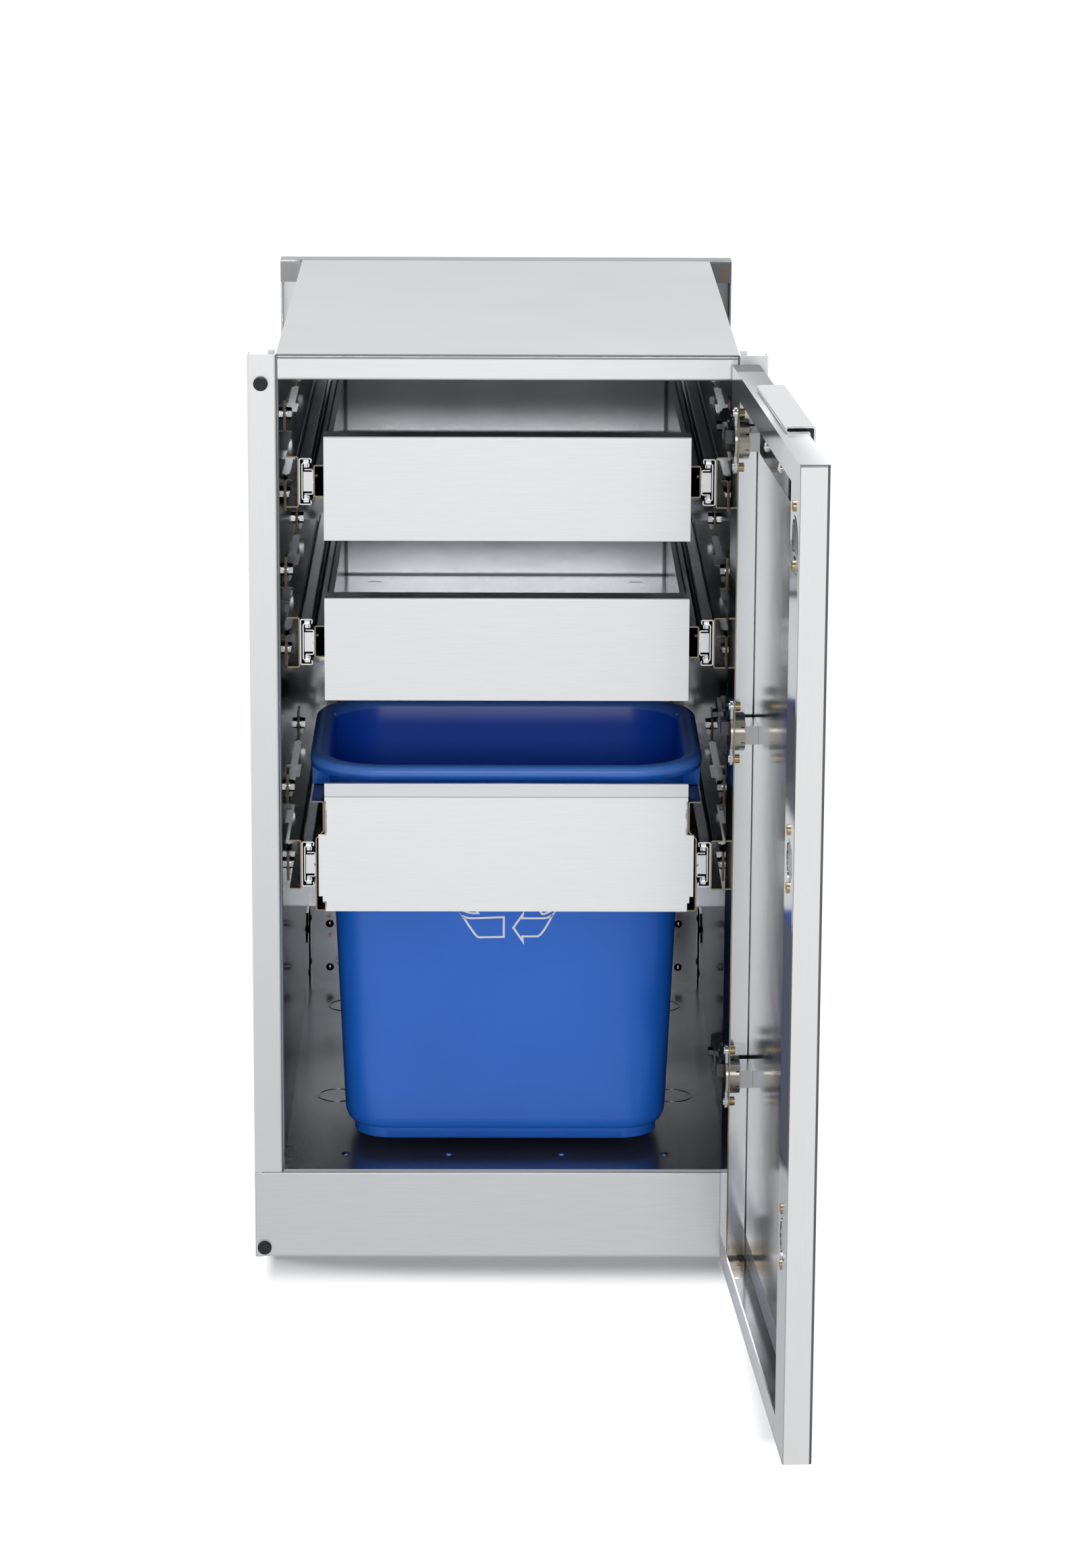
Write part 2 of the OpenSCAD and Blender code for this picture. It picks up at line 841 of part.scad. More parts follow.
module inner_slides(z) {
    inner_slide(-1, z);
    inner_slide(1, z);
}

module upper_inner_slides() { inner_slides(upper_z); }
module lower_inner_slides() { inner_slides(lower_z); }
module bin_inner_slides() { inner_slides(bin_z); }

// Drawers

// Folded drawer: floor, sides and back in one sheet, with a front panel welded on
module drawer_box(z) {
    floor_low = z - runner_rise;
    back_y = front_gap + drawer_d;
    half_w = drawer_w / 2;
    color("whitesmoke") from_front()
        difference() {
            union() {
                along_y(front_gap + sheet_t, back_y)
                    bent([
                        [-half_w + half_t + 6, floor_low + drawer_side_h - half_t],
                        [-half_w + half_t, floor_low + drawer_side_h - half_t],
                        [-half_w + half_t, floor_low + half_t],
                        [half_w - half_t, floor_low + half_t],
                        [half_w - half_t, floor_low + drawer_side_h - half_t],
                        [half_w - half_t - 6, floor_low + drawer_side_h - half_t]
                    ]);
                block([-half_w + half_t, back_y - sheet_t, floor_low + half_t],
                    [half_w - half_t, back_y, floor_low + drawer_side_h - half_t]);
                along_x(-half_w, half_w)
                    bent([
                        [front_gap + half_t, floor_low], [front_gap + half_t, floor_low + drawer_h - half_t],
                        [front_gap + drawer_return, floor_low + drawer_h - half_t],
                        [front_gap + drawer_return, floor_low + drawer_h - 7]
                    ]);
            }
            for (x = [-slot_x, slot_x])
                for (y = slot_ys)
                    translate([x - 7, y - 1.5, floor_low - 1])
                        cube([14, 3, 4]);
        }
}

module upper_drawer_box() { drawer_box(upper_z); }
module lower_drawer_box() { drawer_box(lower_z); }

// Channel brackets that join a drawer's sides to its runners
module drawer_brackets(z) {
    half_w = drawer_w / 2;
    color("slategray") from_front()
        for (side = [-1, 1])
            on_side(side)
                translate([0, 0, z]) {
                    along_y(front_gap + 8, front_gap + 8 + slide_len - 16)
                        bent([
                            [half_w, bracket_h / 2 - half_t],
                            [half_w + bracket_w - half_t, bracket_h / 2 - half_t],
                            [half_w + bracket_w - half_t, -bracket_h / 2 + half_t],
                            [half_w, -bracket_h / 2 + half_t]
                        ]);
                    for (y = bracket_rivet_ys)
                        rod_x([half_w + bracket_w - sheet_t - 1.6, front_gap + y, 0], 6, 1.6);
                }
}

module upper_drawer_brackets() { drawer_brackets(upper_z); }
module lower_drawer_brackets() { drawer_brackets(lower_z); }

// Bin carrier

module bin_carrier_front() {
    half_w = drawer_w / 2 + 1;
    wide = drawer_w / 2 + 6.5;
    color("whitesmoke") from_front()
        union() {
            along_y(front_gap, front_gap + sheet_t)
                polygon([
                    [-half_w, plate_low], [half_w, plate_low],
                    [half_w, plate_low + 8], [half_w + 2, plate_low + 8],
                    [half_w + 2, plate_low + 14], [wide, plate_low + 14],
                    [wide, plate_ear_z], [half_w, plate_ear_z],
                    [half_w, plate_top - bend_r], [-half_w, plate_top - bend_r],
                    [-half_w, plate_ear_z], [-wide, plate_ear_z],
                    [-wide, plate_low + 14], [-half_w - 2, plate_low + 14],
                    [-half_w - 2, plate_low + 8], [-half_w, plate_low + 8]
                ]);
            along_x(-half_w, half_w)
                bent([
                    [front_gap + half_t, plate_top - 8], [front_gap + half_t, plate_top - half_t],
                    [front_gap - sheet_t, plate_top - half_t], [front_gap - sheet_t, plate_top - lip_h]
                ], sheet_t, 1);
        }
}

module bin_carrier_rail(side) {
    color("slategray") from_front() on_side(side)
        along_y(front_gap + sheet_t, front_gap + sheet_t + rail_len)
            bent([
                [rail_out_x + 3, rail_flange_z - half_t],
                [rail_in_x + half_t, rail_flange_z - half_t],
                [rail_in_x + half_t, bin_z + rail_step_high],
                [rail_out_x - half_t, bin_z + rail_step_low],
                [rail_out_x - half_t, plate_low + half_t],
                [rail_in_x - 6, plate_low + half_t]
            ]);
}

module bin_carrier_left_rail() { bin_carrier_rail(-1); }
module bin_carrier_right_rail() { bin_carrier_rail(1); }

// Cross bars behind the bin and at the rear end of the rails
module bin_carrier_cross_bars() {
    color("slategray") from_front()
        for (y = [bin_y + bin_d + 6, front_gap + rail_len - 12])
            along_x(-rail_in_x + 0.2, rail_in_x - 0.2)
                bent([
                    [y + 10, plate_low + 3 * sheet_t - half_t],
                    [y + half_t, plate_low + 3 * sheet_t - half_t],
                    [y + half_t, plate_low + bar_h], [y + 10, plate_low + bar_h]
                ]);
}

// Plan of the bin at a height: half sizes, corner radius and middle
module round_plan(w, d, r) {
    hull()
        for (sx = [-1, 1])
            for (sy = [-1, 1])
                translate([sx * (w / 2 - r), sy * (d / 2 - r)])
                    circle(r, $fn = 56);
}

// Tapered solid between two rounded plans
module loft(w0, d0, r0, z0, w1, d1, r1, z1) {
    hull() {
        translate([0, 0, z0])
            linear_extrude(0.01)
                round_plan(w0, d0, r0);
        translate([0, 0, z1 - 0.01])
            linear_extrude(0.01)
                round_plan(w1, d1, r1);
    }
}

module waste_bin() {
    body_w = bin_w - 2 * rim_out;
    body_d = bin_d - 2 * rim_out;
    base_w = body_w - 2 * bin_taper;
    base_d = body_d - 2 * bin_taper_d;
    body_r = rim_r - rim_out;
    base_r = body_r - 8;
    foot = 10;
    steps = [[0, 17], [2.5, 8], [7, 2.4], [13, 0]];
    color("royalblue") from_front() translate([0, bin_y + bin_d / 2, bin_top - bin_h])
        difference() {
            union() {
                loft(base_w - 17, base_d - 17, base_r - 8, 0, base_w - 17, base_d - 17, base_r - 8, foot + 1);
                for (i = [0:2])
                    loft(base_w - steps[i][1], base_d - steps[i][1], base_r - steps[i][1] / 2,
                        foot + steps[i][0], base_w - steps[i + 1][1], base_d - steps[i + 1][1],
                        base_r - steps[i + 1][1] / 2, foot + steps[i + 1][0]);
                loft(base_w, base_d, base_r, foot + steps[3][0],
                    body_w, body_d, body_r, bin_h);
                loft(bin_w, bin_d, rim_r, bin_h - rim_h, bin_w, bin_d, rim_r, bin_h);
                bin_lugs(20);
            }
            loft(base_w - 20, base_d - 20, base_r - 8 - bin_wall, foot + bin_wall,
                base_w - 2 * bin_wall, base_d - 2 * bin_wall, base_r - bin_wall, foot + 15);
            loft(base_w - 2 * bin_wall, base_d - 2 * bin_wall, base_r - bin_wall, foot + 14.9,
                body_w - 2 * bin_wall, body_d - 2 * bin_wall, body_r - bin_wall, bin_h + 1);
            translate([0, 0, -1])
                linear_extrude(foot + 1)
                    round_plan(base_w - 17 - 3 * bin_wall, base_d - 17 - 3 * bin_wall, base_r - 12);
            difference() {
                translate([0, 0, bin_h - rim_h - 1])
                    linear_extrude(rim_h + 1 - bin_wall)
                        round_plan(bin_w - 2 * bin_wall, bin_d - 2 * bin_wall, rim_r - bin_wall);
                translate([0, 0, bin_h - rim_h - 2])
                    linear_extrude(rim_h + 2)
                        round_plan(body_w, body_d, body_r);
                bin_lugs(30);
            }
        }
}

// Ribs under the rim that rest on the carrier's flanges
module bin_lugs(height) {
    lug_z = bin_h - bin_top + rail_flange_z + lug_gap;
    for (side = [-1, 1])
        for (y = [-lug_y, lug_y])
            on_side(side)
                block([bin_w / 2 - rim_out - 2, y - 1.5, lug_z], [bin_w / 2 - 2, y + 1.5, lug_z + height]);
}

// Door

// Pan with a flange along each edge and holes for the hinge cups on both sides
module door_pan() {
    low = door_foot;
    high = door_foot + door_h;
    outer_y = door_y - door_t;
    color("whitesmoke") on_door()
        difference() {
            union() {
                along_z(low + sheet_t, high - sheet_t)
                    bent([
                        [-door_x + door_flange, door_y - half_t],
                        [-door_x + half_t, door_y - half_t],
                        [-door_x + half_t, outer_y + half_t],
                        [door_x - half_t, outer_y + half_t],
                        [door_x - half_t, door_y - half_t],
                        [door_x - door_flange, door_y - half_t]
                    ]);
                for (z = [low, high - sheet_t])
                    along_z(z, z + sheet_t)
                        difference() {
                            square_between([-door_x, outer_y], [door_x, door_y]);
                            pan_corners();
                        }
                for (zs = [[low, low + door_end_flange], [high - door_end_flange, high]])
                    block([-door_x + door_flange, door_y - sheet_t, zs[0]],
                        [door_x - door_flange, door_y, zs[1]]);
            }
            for (side = [-1, 1])
                for (z = hinge_zs)
                    on_side(side) {
                        rod_y([cup_x, door_y - 5, z], cup_hole_d, 10);
                        for (up = [-1, 1])
                            rod_y([cup_x - 6, door_y - 5, z + up * cup_screws / 2], insert_d + hole_gap, 10);
                    }
            for (x = pull_screw_xs)
                rod_y([x, outer_y - 2, pull_screw_z], pull_screw_d + hole_gap, 6);
            block([-pull_w / 2 - 0.2, outer_y - 1, high - tight_r],
                [pull_w / 2 + 0.2, outer_y + tight_r, high + 1]);
            for (x = [door_x - 8, door_x - 20])
                rod_z([x, outer_y + 9, low - 2], 4, 6);
        }
}

module square_between(low, high) {
    translate(low)
        square(high - low);
}

// Waste outside the bends at the pan's four corners
module pan_corners() {
    for (sx = [-1, 1])
        for (y_in = [[door_y, -1], [door_y - door_t, 1]])
            translate([sx * (door_x - bend_r), y_in[0] + y_in[1] * bend_r])
                scale([sx, -y_in[1]])
                    difference() {
                        square(bend_r + 1);
                        circle(bend_r);
                    }
}

// Threaded inserts pressed into the door flanges on both sides, so the door fits either hand
module cup_screw_inserts() {
    color("darkkhaki") on_door()
        for (side = [-1, 1])
            for (z = hinge_zs)
                for (up = [-1, 1])
                    on_side(side)
                        translate([cup_x - 6, door_y - 8, z + up * cup_screws / 2])
                            rotate([-90, 0, 0])
                                difference() {
                                    union() {
                                        cylinder(d = insert_d, h = 8);
                                        translate([0, 0, 8 - sheet_t - 1])
                                            cylinder(d = insert_d + 1.6, h = 1);
                                    }
                                    translate([0, 0, 2])
                                        cylinder(d = cup_screw_d + hole_gap, h = 7);
                                }
}

// Screws that hold the three hinge cups
module cup_screws_set() {
    face = door_y + cup_plate_t;
    color("silver") on_door()
        for (z = hinge_zs)
            for (up = [-1, 1]) {
                rod_y([cup_x - 6, face - 7, z + up * cup_screws / 2], cup_screw_d, 7);
                rod_y([cup_x - 6, face, z + up * cup_screws / 2], 7, 1.1);
            }
}

// Hinge cup with its face plate, the pocket round the arm and the pivot pin
module hinge_cup(z) {
    wall = 0.8;
    inner_d = cup_d - 2 * wall;
    pocket_x0 = cup_x - inner_d / 2 + 0.4;
    pocket_x1 = pin_x + 4.6;
    color("silver") on_door() translate([0, 0, z])
        difference() {
            union() {
                difference() {
                    union() {
                        rod_y([cup_x, door_y - cup_depth, 0], cup_d, cup_depth);
                        block([pocket_x0 - wall, pocket_low - wall, -pocket_h / 2],
                            [pocket_x1 + wall, door_y - cup_depth + 1, pocket_h / 2]);
                        plate_outline();
                    }
                    rod_y([cup_x, door_y - cup_depth + wall, 0], inner_d, cup_depth + 4);
                    block([pocket_x0, pocket_low, -pocket_h / 2 + wall],
                        [pocket_x1, door_y - cup_depth + 4, pocket_h / 2 - wall]);
                }
                rod_z([pin_x, pin_y, -pocket_h / 2 + wall / 2], pin_d, pocket_h - wall);
            }
            for (up = [-1, 1])
                rod_y([cup_x - 6, door_y - 1, up * cup_screws / 2], cup_screw_d + hole_gap, 6);
        }
}

// Face plate of a hinge cup on the door's flange
module plate_outline() {
    along_y(door_y, door_y + cup_plate_t) {
        circle_at(cup_x, 0, cup_d + 1.6);
        for (up = [-1, 1])
            circle_at(cup_x - 6, up * cup_screws / 2, 12);
        translate([cup_x - 12, -cup_screws / 2])
            square([12, cup_screws]);
    }
}

module circle_at(x, y, d) {
    translate([x, y])
        circle(d = d);
}

module upper_hinge_cup() { hinge_cup(upper_hinge_z); }
module middle_hinge_cup() { hinge_cup(middle_hinge_z); }
module lower_hinge_cup() { hinge_cup(lower_hinge_z); }

// Arm of a concealed hinge: mounting block on the stile, strap, hook and knuckle
module hinge_arm(z) {
    strap_x0 = cup_x - 15.1;
    strap_x1 = strap_x0 + 3.2;
    strap_h = 12;
    hook_t = 4;
    color("dimgray") from_front() translate([0, 0, z])
        difference() {
            union() {
                block([strap_x0, pin_y - hook_t / 2, -strap_h / 2], [strap_x1, 52, strap_h / 2]);
                block([strap_x0, pin_y - hook_t / 2, -strap_h / 2], [pin_x, pin_y + hook_t / 2, strap_h / 2]);
                rod_z([pin_x, pin_y, -strap_h / 2], 6.8, strap_h);
                block([strap_x0 - 1.2, 6, -8], [strap_x1 + 2, 58, 8]);
                block([strap_x1, 10, -10], [side_x - 3, 56, 10]);
                block([side_x - 3, 4, -20], [side_x, 62, 20]);
                block([side_x - 1, 4, -20], [stile_x, frame_d - 0.2, 20]);
                for (up = [-1, 1])
                    translate([side_x - 3, 14, up * 12])
                        rotate([0, -90, 0])
                            cylinder(d1 = 7.6, d2 = 5, h = 2.4);
                translate([strap_x0 - 1.2, 30, 0])
                    rotate([0, -90, 0])
                        cylinder(d = 9, h = 4, $fn = 6);
            }
            rod_z([pin_x, pin_y, -strap_h], pin_d + 2 * pin_gap, 2 * strap_h);
        }
}

module upper_hinge_arm() { hinge_arm(upper_hinge_z); }
module middle_hinge_arm() { hinge_arm(middle_hinge_z); }
module lower_hinge_arm() { hinge_arm(lower_hinge_z); }

// Chrome pull: a hemmed plate over the door's top edge, turned down outside as a grip
module door_pull() {
    high = door_foot + door_h;
    skin_y = door_y - door_t - pull_t / 2;
    lower = high + pull_t / 2;
    upper = lower + pull_hem;
    color("lightgray") on_door()
        difference() {
            along_x(-pull_w / 2, pull_w / 2) {
                bent([[skin_y, high - pull_drop], [skin_y, lower], [door_y - pull_depth, lower]],
                    pull_t, pull_t / 2 + tight_r);
                bent([
                    [door_y - pull_depth - 2, lower], [door_y - pull_shelf, lower],
                    [door_y - pull_shelf, upper], [skin_y - pull_hem, upper],
                    [skin_y - pull_hem, high - pull_grip]
                ], pull_t, pull_hem / 2 - 0.05);
            }
            for (x = pull_screw_xs)
                rod_y([x, skin_y - 1, pull_screw_z], pull_screw_d + hole_gap, 4);
        }
}

// Channel inside the pan that stiffens the top edge behind the pull
module pull_backing_channel() {
    skin = door_y - door_t + sheet_t + half_t;
    face = door_y - pull_face_in;
    low = door_foot + door_h - backing_h;
    color("slategray") on_door()
        difference() {
            along_x(-pull_w / 2, pull_w / 2)
                bent([
                    [skin, door_foot + door_h - 12], [skin, low], [face, low],
                    [face, door_foot + door_h - 12]
                ], sheet_t, 4);
            for (x = pull_screw_xs)
                rod_y([x, skin - 2, pull_screw_z], pull_screw_d + hole_gap, 20);
        }
}

// Pan-head screws through the channel and the pan, with nuts on the pull
module pull_screws() {
    face = door_y - pull_face_in + half_t;
    back = door_y - door_t - pull_t;
    color("silver") on_door()
        for (x = pull_screw_xs) {
            rod_y([x, back - 2, pull_screw_z], pull_screw_d, face - back + 2);
            translate([x, face, pull_screw_z])
                rotate([-90, 0, 0])
                    pan_head();
            translate([x, back, pull_screw_z])
                rotate([90, 0, 0])
                    cylinder(d = 8, h = 1.6, $fn = 6);
        }
}

// Domed head 9 across
module pan_head() {
    intersection() {
        cylinder(d = 9, h = 3);
        translate([0, 0, -3])
            sphere(6);
    }
}

base_channel();
floor_panel();
foot_plates();
left_side_panel();
right_side_panel();
back_panel();
top_panel();
left_front_stile();
right_front_stile();
top_rail();
rear_top_rail();
left_rear_post();
right_rear_post();
corner_gussets();
panel_rivets();
door_bumpers();
carrier_bolts();
upper_left_carrier();
upper_right_carrier();
lower_left_carrier();
lower_right_carrier();
bin_left_carrier();
bin_right_carrier();
upper_left_outer_slide();
upper_right_outer_slide();
lower_left_outer_slide();
lower_right_outer_slide();
bin_left_outer_slide();
bin_right_outer_slide();
upper_left_middle_slide();
upper_right_middle_slide();
lower_left_middle_slide();
lower_right_middle_slide();
bin_left_middle_slide();
bin_right_middle_slide();
upper_inner_slides();
lower_inner_slides();
bin_inner_slides();
upper_drawer_box();
lower_drawer_box();
upper_drawer_brackets();
lower_drawer_brackets();
bin_carrier_front();
bin_carrier_left_rail();
bin_carrier_right_rail();
bin_carrier_cross_bars();
waste_bin();
door_pan();
door_pull();
pull_backing_channel();
pull_screws();
cup_screw_inserts();
cup_screws_set();
upper_hinge_cup();
middle_hinge_cup();
lower_hinge_cup();
upper_hinge_arm();
middle_hinge_arm();
lower_hinge_arm();
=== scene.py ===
import json
import math

import bpy
from mathutils import Matrix, Vector


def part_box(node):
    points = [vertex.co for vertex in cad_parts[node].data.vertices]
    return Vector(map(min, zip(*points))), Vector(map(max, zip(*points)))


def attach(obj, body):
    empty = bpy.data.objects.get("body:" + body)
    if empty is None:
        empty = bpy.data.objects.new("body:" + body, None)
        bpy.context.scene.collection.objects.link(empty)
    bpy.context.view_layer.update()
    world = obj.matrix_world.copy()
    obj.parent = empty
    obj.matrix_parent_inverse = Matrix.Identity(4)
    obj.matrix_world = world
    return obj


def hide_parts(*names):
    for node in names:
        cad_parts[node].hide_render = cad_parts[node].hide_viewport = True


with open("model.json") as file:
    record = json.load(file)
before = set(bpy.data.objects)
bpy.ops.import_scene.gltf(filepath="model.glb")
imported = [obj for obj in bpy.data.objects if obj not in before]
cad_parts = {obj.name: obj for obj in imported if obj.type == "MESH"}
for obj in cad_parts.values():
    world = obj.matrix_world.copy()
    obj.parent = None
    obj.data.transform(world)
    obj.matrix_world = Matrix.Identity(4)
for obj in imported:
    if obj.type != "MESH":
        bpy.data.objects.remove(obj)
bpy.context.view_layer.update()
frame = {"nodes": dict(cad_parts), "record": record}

MM = 0.001
# Hinge-cup screws and inserts stand this far above and below the middle of their cup
CUP_SCREW_REACH = 24 * MM
nodes = frame["nodes"]

# The photograph's height in pixels, the row where the lens axis meets it, and the focal length
PHOTO_H = 2322
AXIS_V = 861
FOCAL_PX = 6537

# How strong the white studio is as a light; it looks brighter than that in metal
SKY_AS_LIGHT = 0.22

# The plane of the cabinet's front, which finishes, floor and camera are placed from, in metres
front_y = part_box("base_channel")[0].y


def linear(hex_colour):
    """An sRGB hex colour as the linear colour that Blender's nodes take."""
    parts = [int(hex_colour[i:i + 2], 16) / 255 for i in (1, 3, 5)]
    return [c / 12.92 if c <= 0.04045 else ((c + 0.055) / 1.055) ** 2.4 for c in parts] + [1.0]


def add_node(tree, kind, settings=None, inputs=None):
    """Adds one node. A tuple of (node, socket name) as an input makes a link."""
    new = tree.nodes.new(kind)
    for name, value in (settings or {}).items():
        setattr(new, name, value)
    for name, value in (inputs or {}).items():
        if isinstance(value, tuple) and isinstance(value[0], bpy.types.Node):
            tree.links.new(value[0].outputs[value[1]], new.inputs[name])
        else:
            new.inputs[name].default_value = value
    return new


def new_material(name):
    """An empty node material with its output, and the tree to build in."""
    made = bpy.data.materials.new(name)
    made.use_nodes = True
    made.node_tree.nodes.clear()
    return made, made.node_tree


def close_material(tree, shader, socket="BSDF"):
    add_node(tree, "ShaderNodeOutputMaterial", inputs={"Surface": (shader, socket)})


def ramp(tree, source, stops):
    """A colour ramp from a value, with stops of (place, linear colour)."""
    made = add_node(tree, "ShaderNodeValToRGB", inputs={"Fac": source})
    points = made.color_ramp.elements
    while len(points) < len(stops):
        points.new(0.5)
    for point, (place, colour) in zip(points, stops):
        point.position = place
        point.color = colour
    return made


def times(tree, a, b):
    """The product of two values, each a (node, socket) or a number."""
    return (add_node(tree, "ShaderNodeMath", {"operation": "MULTIPLY"}, {0: a, 1: b}), "Value")


def either(tree, *sockets):
    """The largest of several values."""
    result = sockets[0]
    for socket in sockets[1:]:
        larger = add_node(tree, "ShaderNodeMath", {"operation": "MAXIMUM"}, {0: result, 1: socket})
        result = (larger, "Value")
    return result


ANYWHERE = (None, None, None)  # a corner of a box that sets no limit


def patch(tree, low, high, fade, wobble=0.0):
    """1 inside a box of the cabinet's own space, fading to 0 round it. None leaves a side open.
    The wobble moves the box's edge about by up to that many metres."""
    where = add_node(tree, "ShaderNodeTexCoord")
    place = (where, "Object")
    if wobble:
        noise = add_node(tree, "ShaderNodeTexNoise", inputs={
            "Vector": (where, "Object"), "Scale": 1000 / 9, "Detail": 2.0})
        centred = add_node(tree, "ShaderNodeVectorMath", {"operation": "MULTIPLY_ADD"}, {
            0: (noise, "Color"), 1: [wobble * 4] * 3, 2: [-wobble * 2] * 3})
        place = (add_node(tree, "ShaderNodeVectorMath", {"operation": "ADD"}, {
            0: (where, "Object"), 1: (centred, "Vector")}), "Vector")
    axes = add_node(tree, "ShaderNodeSeparateXYZ", inputs={"Vector": place})
    mask = 1.0
    for axis, start, end in zip("XYZ", low, high):
        for side, outwards in ((start, -fade), (end, fade)):
            if side is not None:
                step = add_node(tree, "ShaderNodeMapRange", {"interpolation_type": "SMOOTHSTEP"}, {
                    "Value": (axes, axis), "From Min": side + outwards, "From Max": side})
                mask = times(tree, mask, (step, "Result"))
    return mask


def facing(tree, direction, least=0.9):
    """1 on faces that point a given way, such as the cut edges of a sheet."""
    where = add_node(tree, "ShaderNodeTexCoord")
    along = add_node(tree, "ShaderNodeVectorMath", {"operation": "DOT_PRODUCT"}, {
        0: (where, "Normal"), 1: direction})
    return (add_node(tree, "ShaderNodeMath", {"operation": "GREATER_THAN"}, {
        0: (along, "Value"), 1: least}), "Value")


def blend_colour(tree, mask, under, over):
    """One colour over another by a mask. Colours are linear lists or (node, socket)."""
    return (add_node(tree, "ShaderNodeMix", {"data_type": "RGBA"}, {0: mask, 6: under, 7: over}), 2)


def add_marks_and_painted_light(tree, colour, tints):
    """Heat tints, burn marks and painted light (painted shade and painted reflections): (low, high,
    fade, wobble, hex colour, strength) each.
    """
    for low, high, fade, wobble, hex_colour, strength in tints:
        mask = times(tree, patch(tree, low, high, fade, wobble), strength)
        colour = blend_colour(tree, mask, colour, linear(hex_colour))
    return colour


def grain(tree, length_mm, width_mm, along):
    """Streaks of a real length and width, drawn out along one axis."""
    where = add_node(tree, "ShaderNodeTexCoord")
    scale = [1000 / width_mm] * 3
    scale["XYZ".index(along)] = 1000 / length_mm
    stretched = add_node(tree, "ShaderNodeMapping", inputs={"Vector": (where, "Object"), "Scale": scale})
    return add_node(tree, "ShaderNodeTexNoise", inputs={
        "Vector": (stretched, "Vector"), "Scale": 1.0, "Detail": 3.0, "Roughness": 0.6})


def brushed_shader(tree, along, bright, dark, rough, spread, tints):
    """Belt-sanded grain: satin, with faint streaks along the sheet. It spreads a reflection
    across its lines. Real lines are about 0.1 mm wide; they are drawn 0.3 mm wide to show."""
    streaks = grain(tree, 30, 0.3, along)
    tone = ramp(tree, (streaks, "Fac"), [(0.35, linear(dark)), (0.65, linear(bright))])
    polish = add_node(tree, "ShaderNodeMapRange", inputs={
        "Value": (streaks, "Fac"), "To Min": rough - 0.03, "To Max": rough + 0.03})
    relief = add_node(tree, "ShaderNodeBump", inputs={
        "Height": (streaks, "Fac"), "Strength": 0.03, "Distance": 0.0003})
    # Upright grain spreads light round the Z axis, grain across spreads it up and down
    lie = add_node(tree, "ShaderNodeTangent", {"direction_type": "RADIAL", "axis": "Z"})
    return add_node(tree, "ShaderNodeBsdfPrincipled", inputs={
        "Base Color": add_marks_and_painted_light(tree, (tone, "Color"), tints), "Metallic": 1.0,
        "Anisotropic": spread, "Anisotropic Rotation": 0.0 if along == "Z" else 0.25,
        "Roughness": (polish, "Result"), "Normal": (relief, "Normal"), "Tangent": (lie, "Tangent")})


def rolled_shader(tree, colour, rough, tints=(), wavy=0.25, edge="#FFFFFF", metal=1.0):
    """Sheet as it leaves the rolls: near-mirror, with soft waves and a few dull patches. edge tints what
    it mirrors at a glancing angle; a grey edge is painted shade."""
    where = add_node(tree, "ShaderNodeTexCoord")
    waves = add_node(tree, "ShaderNodeTexNoise", inputs={
        "Vector": (where, "Object"), "Scale": 1000 / 90, "Detail": 2.0})
    relief = add_node(tree, "ShaderNodeBump", inputs={
        "Height": (waves, "Fac"), "Strength": wavy, "Distance": 0.002})
    patches = add_node(tree, "ShaderNodeMapRange", inputs={
        "Value": (waves, "Fac"), "To Min": rough - 0.03, "To Max": rough + 0.05})
    darker = [c * 0.94 for c in linear(colour)]
    tone = ramp(tree, (waves, "Fac"), [(0.3, darker), (0.7, linear(colour))])
    return add_node(tree, "ShaderNodeBsdfPrincipled", inputs={
        "Base Color": add_marks_and_painted_light(tree, (tone, "Color"), tints), "Metallic": metal,
        "Specular Tint": linear(edge), "Roughness": (patches, "Result"), "Normal": (relief, "Normal")})


def brushed_stainless(name, along, bright="#E2E3E4", dark="#DCDDDF", rough=0.42, spread=0.85, tints=()):
    """Stainless sheet, brushed on all its faces."""
    made, tree = new_material(name)
    close_material(tree, brushed_shader(tree, along, bright, dark, rough, spread, tints))
    return made


def two_faced_stainless(name, along, outside, bright="#E2E3E4", dark="#DCDDDF", rough=0.42,
                        spread=0.85, inside="#DCDEE0", inside_rough=0.14, tints=(), inside_tints=(),
                        painted_reflections=(), wavy=0.25, edge="#FFFFFF"):
    """Stainless sheet that is brushed outside and bright rolled inside. Each outside face is given as
    the way that it points and the box that it lies in. Painted reflections, dull films of fixed colour
    that stand in for what the inside mirrors, have a colour and a share as well."""
    made, tree = new_material(name)
    brushed = brushed_shader(tree, along, bright, dark, rough, spread, tints)
    smooth = rolled_shader(tree, inside, inside_rough, inside_tints, wavy, edge)
    masks = [times(tree, facing(tree, way, 0.6), patch(tree, low, high, 0.0002))
             for way, low, high in outside]
    both = add_node(tree, "ShaderNodeMixShader", inputs={
        0: either(tree, *masks), 1: (smooth, "BSDF"), 2: (brushed, "BSDF")})
    # Painted reflections: a dull film of fixed colour over the mirror in each place
    for way, low, high, fade, hex_colour, share in painted_reflections:
        here = times(tree, facing(tree, way, 0.6), patch(tree, low, high, fade))
        film = add_node(tree, "ShaderNodeBsdfPrincipled", inputs={
            "Base Color": linear(hex_colour), "Roughness": 0.6, "Specular IOR Level": 0.1})
        both = add_node(tree, "ShaderNodeMixShader", inputs={
            0: times(tree, here, share), 1: (both, "Shader"), 2: (film, "BSDF")})
    close_material(tree, both, "Shader")
    return made


